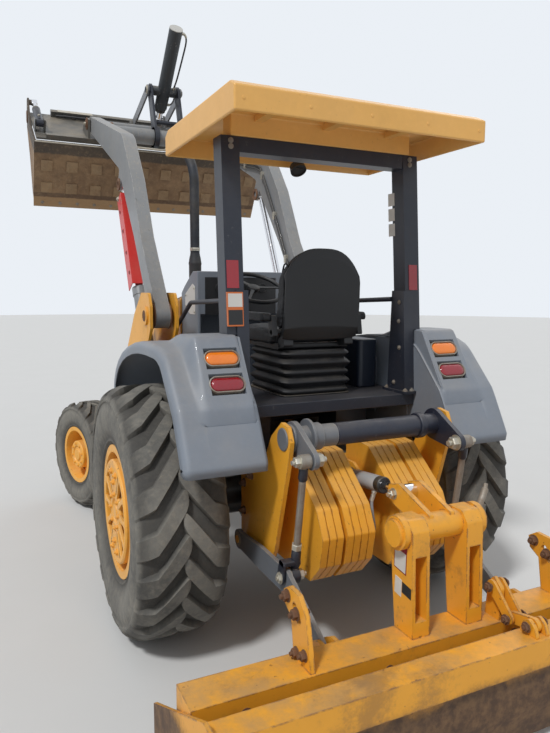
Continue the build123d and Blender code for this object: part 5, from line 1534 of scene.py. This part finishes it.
def makeArms():
    body = bodyOf("boom")
    pivot, tubeAt, anchor = (pins[key] for key in ("armPivot", "torqueTube", "rodAnchor"))
    rusty, nuts, lines, clips = [], [], [], []
    for side in sides:
        for face in (0.500, 0.590):
            low = face if face > 0.545 else face - 0.010
            for point, outer, bore in ((pivot, 0.082, 0.0302), (pins["liftTop"], 0.046, 0.0255)):
                rusty.append(collar(side * low, side * (low + 0.010), point, outer, bore, 0.003))
        rusty.append(collar(side * 0.482, side * 0.500, tubeAt, 0.086, 0.0652, 0.004))
        nuts.append(sideNut(side * 0.038, anchor, side, 0.030, 0.008))
        for offset, drop in ((0.0, 0.0), (0.022, 0.026)):
            route = [(0.930 + drop, 1.640 - drop), (1.130, 1.960 - drop), (1.330, 2.290 - drop),
                     (1.560, 2.620 - drop),
                     (1.640, 2.690 - drop), (1.900, 2.760 - drop), (2.250, 2.870 - drop)]
            path = smoothLine([sidePoint(side * 0.489, *point) for point in route], 5)
            lines.append(tube(path, 0.0075, 10))
        for point in ((1.130, 1.947), (1.330, 2.277), (1.560, 2.607), (1.900, 2.747), (2.200, 2.842)):
            clips.append(prism([(point[0] - 0.014, point[1] - 0.030), (point[0] + 0.014, point[1] - 0.030),
                                (point[0] + 0.014, point[1] + 0.028), (point[0] - 0.014, point[1] + 0.028)],
                               side * 0.478, side * 0.500, 0.004))
    piece("arm_bosses", rusty, "rusty", body)
    piece("arm_anchor_nuts", nuts, "zinc", body, smoothAngle=30)
    piece("arm_lines", lines, "black", body)
    piece("arm_line_clips", clips, "zinc", body, bevel=0.001)
    low = [(-0.420, 2.396, 2.908), (-0.200, 2.396, 2.903), (-0.080, 2.396, 2.903), (-0.045, 2.398, 2.912),
           (-0.030, 2.402, 2.940), (-0.030, 2.404, 3.000)]
    path = smoothLine([sidePoint(*point) for point in low], 6)
    piece("tube_line", tube(path, 0.009, 12), "paleSteel", body)

    # Levers: collars round the torque tube and washers at the links' front pins
    levers = []
    for side in sides:
        levers.append(collar(side * 0.130, side * 0.140, tubeAt, 0.088, 0.0665))
    piece("lever_collars", levers, "rusty", bodyOf("bucket_levers"))
    ends = [collar(side * 0.1340, side * 0.1355, pins["linkFront"], 0.036, 0.020, 0.0005) for side in sides]
    piece("link_washers", ends, "rusty", bodyOf("bucket_links"))


def makeLiftCylinders():
    base, top, body = pins["liftBase"], pins["liftTop"], bodyOf("lift_barrel_left")
    start, end = sidePoint(0, *base), sidePoint(0, *top)
    along = unit(end - start)
    back = backOf(along)
    glands, lines, clips = [], [], []
    for side in sides:
        shift = np.array([side * 0.545, 0, 0])
        glands.append(turned([(0.930, 0.046), (0.930, 0.0505), (0.976, 0.0505), (0.9805, 0.047),
                              (0.9805, 0.0275),
                              (0.930, 0.0275)], start + shift, along, 36))
        # The left line runs along the front, clear of the lock strut that comes down behind the barrel
        path = smoothLine([start + shift + along * a + back * b * side for a, b in
                           ((0.20, 0.048), (0.24, 0.057), (0.50, 0.057), (0.80, 0.057), (0.90, 0.057),
                            (0.925, 0.048))], 5)
        lines.append(tube(path, 0.0065, 10))
        for a in (0.40, 0.70):
            clips.append(turned([(a, 0.0465), (a, 0.0490), (a + 0.018, 0.0490), (a + 0.018, 0.0465)],
                                start + shift, along, 36))
    piece("lift_glands", glands, "black", body)
    piece("lift_lines", lines, "steel", body)
    piece("lift_line_bands", clips, "zinc", body)


# Lock strut: rings along its outer face with dark discs inside them, painted shade standing for holes, and the
# pale bolt at its top
def makeLockFittings():
    low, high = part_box("lift_lock")
    body = bodyOf("lift_lock")
    start, end = np.array([1.352, 1.812]), np.array([1.640, 2.296])
    holeShadeDiscs, rings, bolts = [], [], []
    for share in (0.05, 0.34, 0.66, 0.95):
        point = tuple(start + (end - start) * share)
        rings.append(collar(low.x - 0.0015, low.x + 0.0005, point, 0.017, 0.0115, 0.0005))
        # Dark disc in the ring: painted shade standing for the hole
        holeShadeDiscs.append(boss(low.x - 0.0012, low.x + 0.0003, point, 0.012))
    bolts.append(bar(sidePoint(low.x - 0.001, *pins["lockBolt"]),
                     sidePoint(high.x + 0.001, *pins["lockBolt"]),
                     0.009, 16))
    bolts.append(sideNut(low.x, pins["lockBolt"], -1, 0.026, 0.010))
    bolts.append(sideNut(high.x, pins["lockBolt"], 1, 0.026, 0.010))
    piece("lock_rings", rings, "red", body)
    piece("lock_hole_painted_shade", holeShadeDiscs, "plateDark", body)
    piece("lock_bolt", bolts, "zinc", body, smoothAngle=30)


makeBucketFittings()
makeBucketCylinder()
makeArms()
makeLiftCylinders()
makeLockFittings()
print("loader fittings made")


# Posts, canopy, cowl, hood and towers: plates, reflectors, lamps and bolts


# Thin plate on a post's sloping rear face; lift is its stand-off
def postPlate(left, right, low, high, lift):
    def face(z):
        return -0.370 + (z - 1.515) * 0.070 / 0.905
    outline = [(face(low) - lift, low), (face(low) + 0.001, low), (face(high) + 0.001, high),
               (face(high) - lift, high)]
    return prism(outline, left, right)


def makePosts():
    body = bodyOf("rops")
    plates = [("post_reflector_left", postPlate(-0.541, -0.482, 1.730, 1.857, 0.003), "reflector"),
              ("post_reflector_right", postPlate(0.482, 0.534, 1.724, 1.855, 0.003), "reflector"),
              ("post_plate_rim", postPlate(-0.547, -0.468, 1.555, 1.712, 0.0125), "plateOrange"),
              ("post_plate_pale", postPlate(-0.5425, -0.4725, 1.644, 1.705, 0.0133), "plate"),
              ("post_plate_dark", postPlate(-0.5425, -0.4725, 1.562, 1.630, 0.0133), "plateDark")]
    for name, shape, finish in plates:
        piece(name, shape, finish, body)
    small = []
    for k in range(3):
        low = 2.010 + k * 0.080
        forward = -0.290 + (low - 1.515) * 0.077
        small.append(prism([(forward, low), (forward + 0.055, low), (forward + 0.060, low + 0.066),
                            (forward + 0.005, low + 0.066)], 0.4565, 0.4582))
    piece("post_side_plates", small, "plate", body)
    bolts = []
    for side in sides:
        for point in ((-0.330, 1.560), (-0.330, 1.660), (-0.300, 1.230), (-0.340, 1.420)):
            bolts.append(sideNut(side * 0.440, point, -side, 0.017, 0.007))
        for forward in (-0.402, -0.238):
            for x in (0.440, 0.482):
                bolts.append(nut(sidePoint(side * x, forward, 1.194), upward, 0.020, 0.010))
        for height in (2.372, 2.398):
            bolts.append(nut(sidePoint(side * 0.500, -0.300 + (height - 2.42) * 0.077, height), rearward,
                             0.018, 0.008))
    piece("post_bolts", bolts, "steel", body, smoothAngle=30)


def makeCanopyFittings():
    body = bodyOf("canopy")
    shapes = []
    for x in (-0.36, 0.0, 0.36):
        shapes.append(prism([(-0.670, 2.492), (0.262, 2.492), (0.262, 2.5195), (-0.670, 2.5195)], x - 0.022,
                            x + 0.022,
                            0.006))
    piece("canopy_ribs", shapes, "canopy", body, bevel=0.001)
    lamp = [blockShape((0.085, 0.180, 2.400), (0.125, 0.220, 2.424))]
    lamp.append(turned([(-0.030, 0), (-0.034, 0.026), (-0.020, 0.042), (0.012, 0.046), (0.020, 0.046),
                        (0.020, 0.041),
                        (0.014, 0.040), (0.014, 0)], sidePoint(0.105, 0.205, 2.4055), (0, -0.25,
                                                                                       -0.35), 32))
    bolts = []
    for x in (-0.60, -0.30, 0.0, 0.30, 0.60):
        bolts.append(turned([(0, 0), (0, 0.008), (0.002, 0.007), (0.003, 0)], sidePoint(x, -0.6995, 2.470),
                            rearward, 14))
    piece("work_lamp", lamp, "black", body)
    piece("canopy_bolts", bolts, "canopy", body)


def makeCowlFittings():
    body = bodyOf("cowl")
    panel = [(0.7985, 1.560), (0.7985, 1.800), (0.8005, 1.800), (0.8005, 1.560)]
    shapes = [prism(panel, -0.250, 0.250)]
    dials = []
    for x in (-0.150, -0.060, 0.060, 0.150):
        dials.append(turned([(0, 0), (0, 0.030), (0.004, 0.032), (0.007, 0.030), (0.007, 0.026),
                             (0.004, 0.025),
                             (0.004, 0)], sidePoint(x, 0.7985, 1.730), rearward, 28))
    piece("dash_panel", shapes, "plateDark", body)
    piece("dash_dials", dials, "plastic", body)
    side = [(0.850, 1.560), (0.960, 1.560), (1.060, 1.600), (1.060, 1.690), (0.900, 1.760), (0.850, 1.740)]
    piece("cowl_side_plate", prism(side, -0.3015, -0.2995, 0.012), "plate", body)
    screws = [sideNut(-0.3015, point, -1, 0.010, 0.004)
              for point in ((0.865, 1.575), (1.045, 1.612), (1.045, 1.682), (0.865, 1.728))]
    piece("cowl_screws", screws, "zinc", body, smoothAngle=30)


def makeHoodFittings():
    body = bodyOf("grille")
    lenses = []
    for side in sides:
        spot = sidePoint(side * 0.185, 2.354, 1.290)
        lenses.append(turned([(0.002, 0.0), (0.002, 0.054), (0.006, 0.054), (0.011, 0.048), (0.015, 0.034),
                              (0.017, 0.016),
                              (0.0175, 0)], spot, (0, 1, 0), 36))
    piece("headlamp_lenses", lenses, "plate", body)
    bolts = pairedNuts(0.310, ((1.240, 1.560), (1.240, 1.200), (2.250, 1.400), (2.250, 1.020),
                               (1.750, 1.500)),
                       0.016, 0.007)
    piece("hood_bolts", bolts, "zinc", bodyOf("hood"), smoothAngle=30)


def makeTowerFittings():
    bolts, grease = [], []
    for side in sides:
        for point in ((0.780, 0.680), (1.170, 0.680), (0.980, 0.680), (1.290, 0.860), (1.290, 1.180)):
            bolts.append(sideNut(side * 0.635, point, side, 0.034))
        for point, radius in ((pins["armPivot"], 0.034), (pins["liftBase"], 0.028)):
            grease.append(boss(side * 0.6468, side * 0.6475, point, radius))
    piece("tower_bolts", bolts, "rusty", bodyOf("loader_tower_left"), smoothAngle=30)
    piece("tower_pin_faces", grease, "rusty", bodyOf("loader_tower_left"))


makePosts()
makeCanopyFittings()
makeCowlFittings()
makeHoodFittings()
makeTowerFittings()
print("posts, canopy, cowl and towers fitted")


# Box blade: plates, bolts, toggle links and pins


def makeBlade():
    body = bodyOf("box_blade")
    # Blank plates on the left column's outer face
    plates = [("blade_plate_red", [(-1.176, 0.772), (-1.252, 0.762), (-1.250, 0.656), (-1.174, 0.666)],
               "redLens", 0.0010),
              ("blade_plate_pale", [(-1.180, 0.746), (-1.248, 0.737), (-1.246, 0.661), (-1.178, 0.670)],
               "plate", 0.0018),
              ("blade_plate_white", [(-1.184, 0.634), (-1.226, 0.628), (-1.224, 0.560), (-1.182, 0.566)],
               "plate",
               0.0015),
              ("blade_plate_dark", [(-1.229, 0.624), (-1.284, 0.616), (-1.283, 0.574), (-1.228, 0.582)],
               "plateDark",
               0.0015)]
    for name, outline, finish, thick in plates:
        piece(name, prism(outline, -0.170 - thick, -0.1695), finish, body)

    rusty, pale, yellow, shafts, heads = [], [], [], [], []
    for side in sides:
        # Hitch pins: their outer and inner ends
        rusty.append(boss(side * 0.498, side * 0.518, pins["lowerRear"], 0.024))
        shafts.append(boss(side * 0.398, side * 0.418, pins["lowerRear"], 0.022))
        # Clevis bolts in the brace plates
        for hole in ((-1.150, 0.628), (-1.222, 0.592)):
            rusty.append(sideNut(side * 0.618, hole, side, 0.034))
            rusty.append(sideNut(side * 0.600, hole, -side, 0.034))
        for point in ((-1.225, 0.450), (-1.285, 0.470)):
            rusty.append(sideNut(side * 0.618, point, side, 0.030))
        # End plates' bolts
        for point in ((-1.000, 0.080), (-1.000, 0.160), (-1.250, 0.080), (-1.450, 0.080), (-1.500, 0.400)):
            heads.append(turned([(-0.002, 0), (-0.002, 0.016), (0.0, 0.016), (0.0, 0)],
                                sidePoint(side * 1.0597, *point),
                                (side, 0, 0), 20))
        pale.append(sideNut(side * 0.062, pins["topRear"], side, 0.034))
    # Bolts along the cutting edge and on the beams
    for k in range(11):
        x = -0.95 + k * 0.19
        rusty.append(nut(sidePoint(x, -1.497, 0.110), (0, 1, 0.1), 0.022, 0.010))
    for x in (-0.86, -0.30, 0.30, 0.86):
        rusty.append(nut(sidePoint(x, -1.340, 0.365), rearward, 0.026))
    piece("blade_bolts", rusty, "rusty", body, smoothAngle=30)
    piece("blade_end_bolts", heads, "rusty", body)
    piece("blade_pin_heads", shafts, "steel", body)
    piece("top_pin_nuts", pale, "zinc", body, smoothAngle=30)

    # Toggle links from a lug between the columns to a lug on the rear beam
    joints = {"upper": (-1.300, 0.560), "middle": (-1.395, 0.470), "lower": (-1.495, 0.490)}
    for x in (0.215, 0.262):
        yellow.append(prism(linkOutline(joints["upper"], 0.026, joints["middle"], 0.022, 10), x - 0.006,
                            x + 0.006))
    yellow.append(prism(linkOutline(joints["middle"], 0.024, joints["lower"], 0.026, 10), 0.229, 0.248))
    yellow.append(prism([(-1.2500, 0.420), (-1.330, 0.420), (-1.334, 0.560), (-1.290, 0.596),
                         (-1.262, 0.560)],
                        0.229, 0.248, 0.012))
    for x in (0.205, 0.256):
        yellow.append(prism([(-1.455, 0.458), (-1.540, 0.458), (-1.524, 0.500), (-1.495, 0.520),
                             (-1.466, 0.500)],
                            x, x + 0.016, 0.010))
    piece("toggle_links", yellow, "blade", body, bevel=0.002)
    bolts = []
    for point in joints.values():
        bolts.append(bar(sidePoint(0.196, *point), sidePoint(0.281, *point), 0.011, 16))
        bolts.append(sideNut(0.281, point, 1, 0.028, 0.012))
        bolts.append(sideNut(0.196, point, -1, 0.028, 0.012))
    piece("toggle_bolts", bolts, "rusty", body, smoothAngle=30)

    # Hydraulic hose couplings held on a small stand behind the right column
    stand = [bar(sidePoint(0.190, -1.175, 0.690), sidePoint(0.290, -1.130, 0.820), 0.010, 14),
             bar(sidePoint(0.290, -1.130, 0.820), sidePoint(0.345, -1.105, 0.885), 0.014, 14),
             bar(sidePoint(0.345, -1.105, 0.885), sidePoint(0.352, -1.100, 0.905), 0.009, 6)]
    piece("link_adjuster", stand, "steel", body, smoothAngle=40)


makeBlade()
print("box blade fitted")


# CAD nodes that no finish was given

for name in nodes:
    if not nodes[name].get("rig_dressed"):
        nodes[name].data.materials.clear()
        nodes[name].data.materials.append(finishes["plastic"])


# Floor, light and camera


def studio():
    ground = {"radius": 40.0, "tone": (0.62, 0.62, 0.61), "sky": (0.83, 0.87, 0.92)}
    points, faces = turned([(0, 0), (0, ground["radius"])], (0, 0, 0), upward, 64)
    board = Board("floorTone")
    grain = board.noise(2, 6, 0.6).between(0.3, 0.7)
    tone = board.blend(grain * 0.08, ground["tone"], (0.5, 0.5, 0.49))
    material = board.surface(Base_Color=tone, Roughness=0.9)
    mesh = bpy.data.meshes.new("floor")
    mesh.from_pydata(points.tolist(), [], faces)
    mesh.materials.append(material)
    floor = bpy.data.objects.new("floor", mesh)
    bpy.context.scene.collection.objects.link(floor)

    world = bpy.data.worlds.new("studio")
    bpy.context.scene.world = world
    world.use_nodes = True
    tree = world.node_tree
    tree.nodes.clear()
    rays = tree.nodes.new("ShaderNodeLightPath")
    seen = tree.nodes.new("ShaderNodeMath")
    seen.operation = "MAXIMUM"
    tree.links.new(rays.outputs["Is Camera Ray"], seen.inputs[0])
    shiny = tree.nodes.new("ShaderNodeMath")
    shiny.operation = "MAXIMUM"
    tree.links.new(rays.outputs["Is Glossy Ray"], shiny.inputs[0])
    tree.links.new(rays.outputs["Is Transmission Ray"], shiny.inputs[1])
    tree.links.new(shiny.outputs[0], seen.inputs[1])
    lighting = tree.nodes.new("ShaderNodeBackground")
    lighting.inputs[0].default_value = (0.93, 0.96, 1.0, 1)
    lighting.inputs[1].default_value = 0.48
    backdrop = tree.nodes.new("ShaderNodeBackground")
    backdrop.inputs[0].default_value = (*ground["sky"], 1)
    backdrop.inputs[1].default_value = 1.0
    mix = tree.nodes.new("ShaderNodeMixShader")
    tree.links.new(seen.outputs[0], mix.inputs[0])
    tree.links.new(lighting.outputs[0], mix.inputs[1])
    tree.links.new(backdrop.outputs[0], mix.inputs[2])
    end = tree.nodes.new("ShaderNodeOutputWorld")
    tree.links.new(mix.outputs[0], end.inputs[0])

    # A broad key from high behind the machine's left, and a weak fill from its right
    for name, direction, strength, angle in (("key", (-0.62, -0.42, 1.0), 2.1, 8),
                                             ("fill", (0.8, 0.5, 0.7), 0.35, 40)):
        lamp = bpy.data.lights.new(name, "SUN")
        lamp.energy = strength
        lamp.angle = math.radians(angle)
        thing = bpy.data.objects.new(name, lamp)
        thing.rotation_euler = Vector(direction).to_track_quat("Z", "Y").to_euler()
        bpy.context.scene.collection.objects.link(thing)


def photoCamera():
    view = {"place": (-1.590, -3.092, 1.726), "yaw": 25.29, "pitch": -6.97, "roll": 0.25,
            "focal": 633.5, "frameHeight": 733}
    yaw, pitch, roll = (math.radians(view[key]) for key in ("yaw", "pitch", "roll"))
    forward = Vector((math.sin(yaw) * math.cos(pitch), math.cos(yaw) * math.cos(pitch), math.sin(pitch)))
    right = Vector((math.cos(yaw), -math.sin(yaw), 0))
    up = right.cross(forward)
    right, up = right * math.cos(roll) + up * math.sin(roll), up * math.cos(roll) - right * math.sin(roll)
    lens = bpy.data.cameras.new("photoCamera")
    lens.sensor_width = 36
    lens.lens = view["focal"] / view["frameHeight"] * lens.sensor_width
    camera = bpy.data.objects.new("photoCamera", lens)
    turn = Matrix((right, up, -forward)).transposed().to_4x4()
    x, y, z = view["place"]
    camera.matrix_world = Matrix.Translation((x, rearAxleY + y, z)) @ turn
    bpy.context.scene.collection.objects.link(camera)
    bpy.context.scene.camera = camera


studio()
photoCamera()
bpy.context.scene.view_settings.view_transform = "Standard"
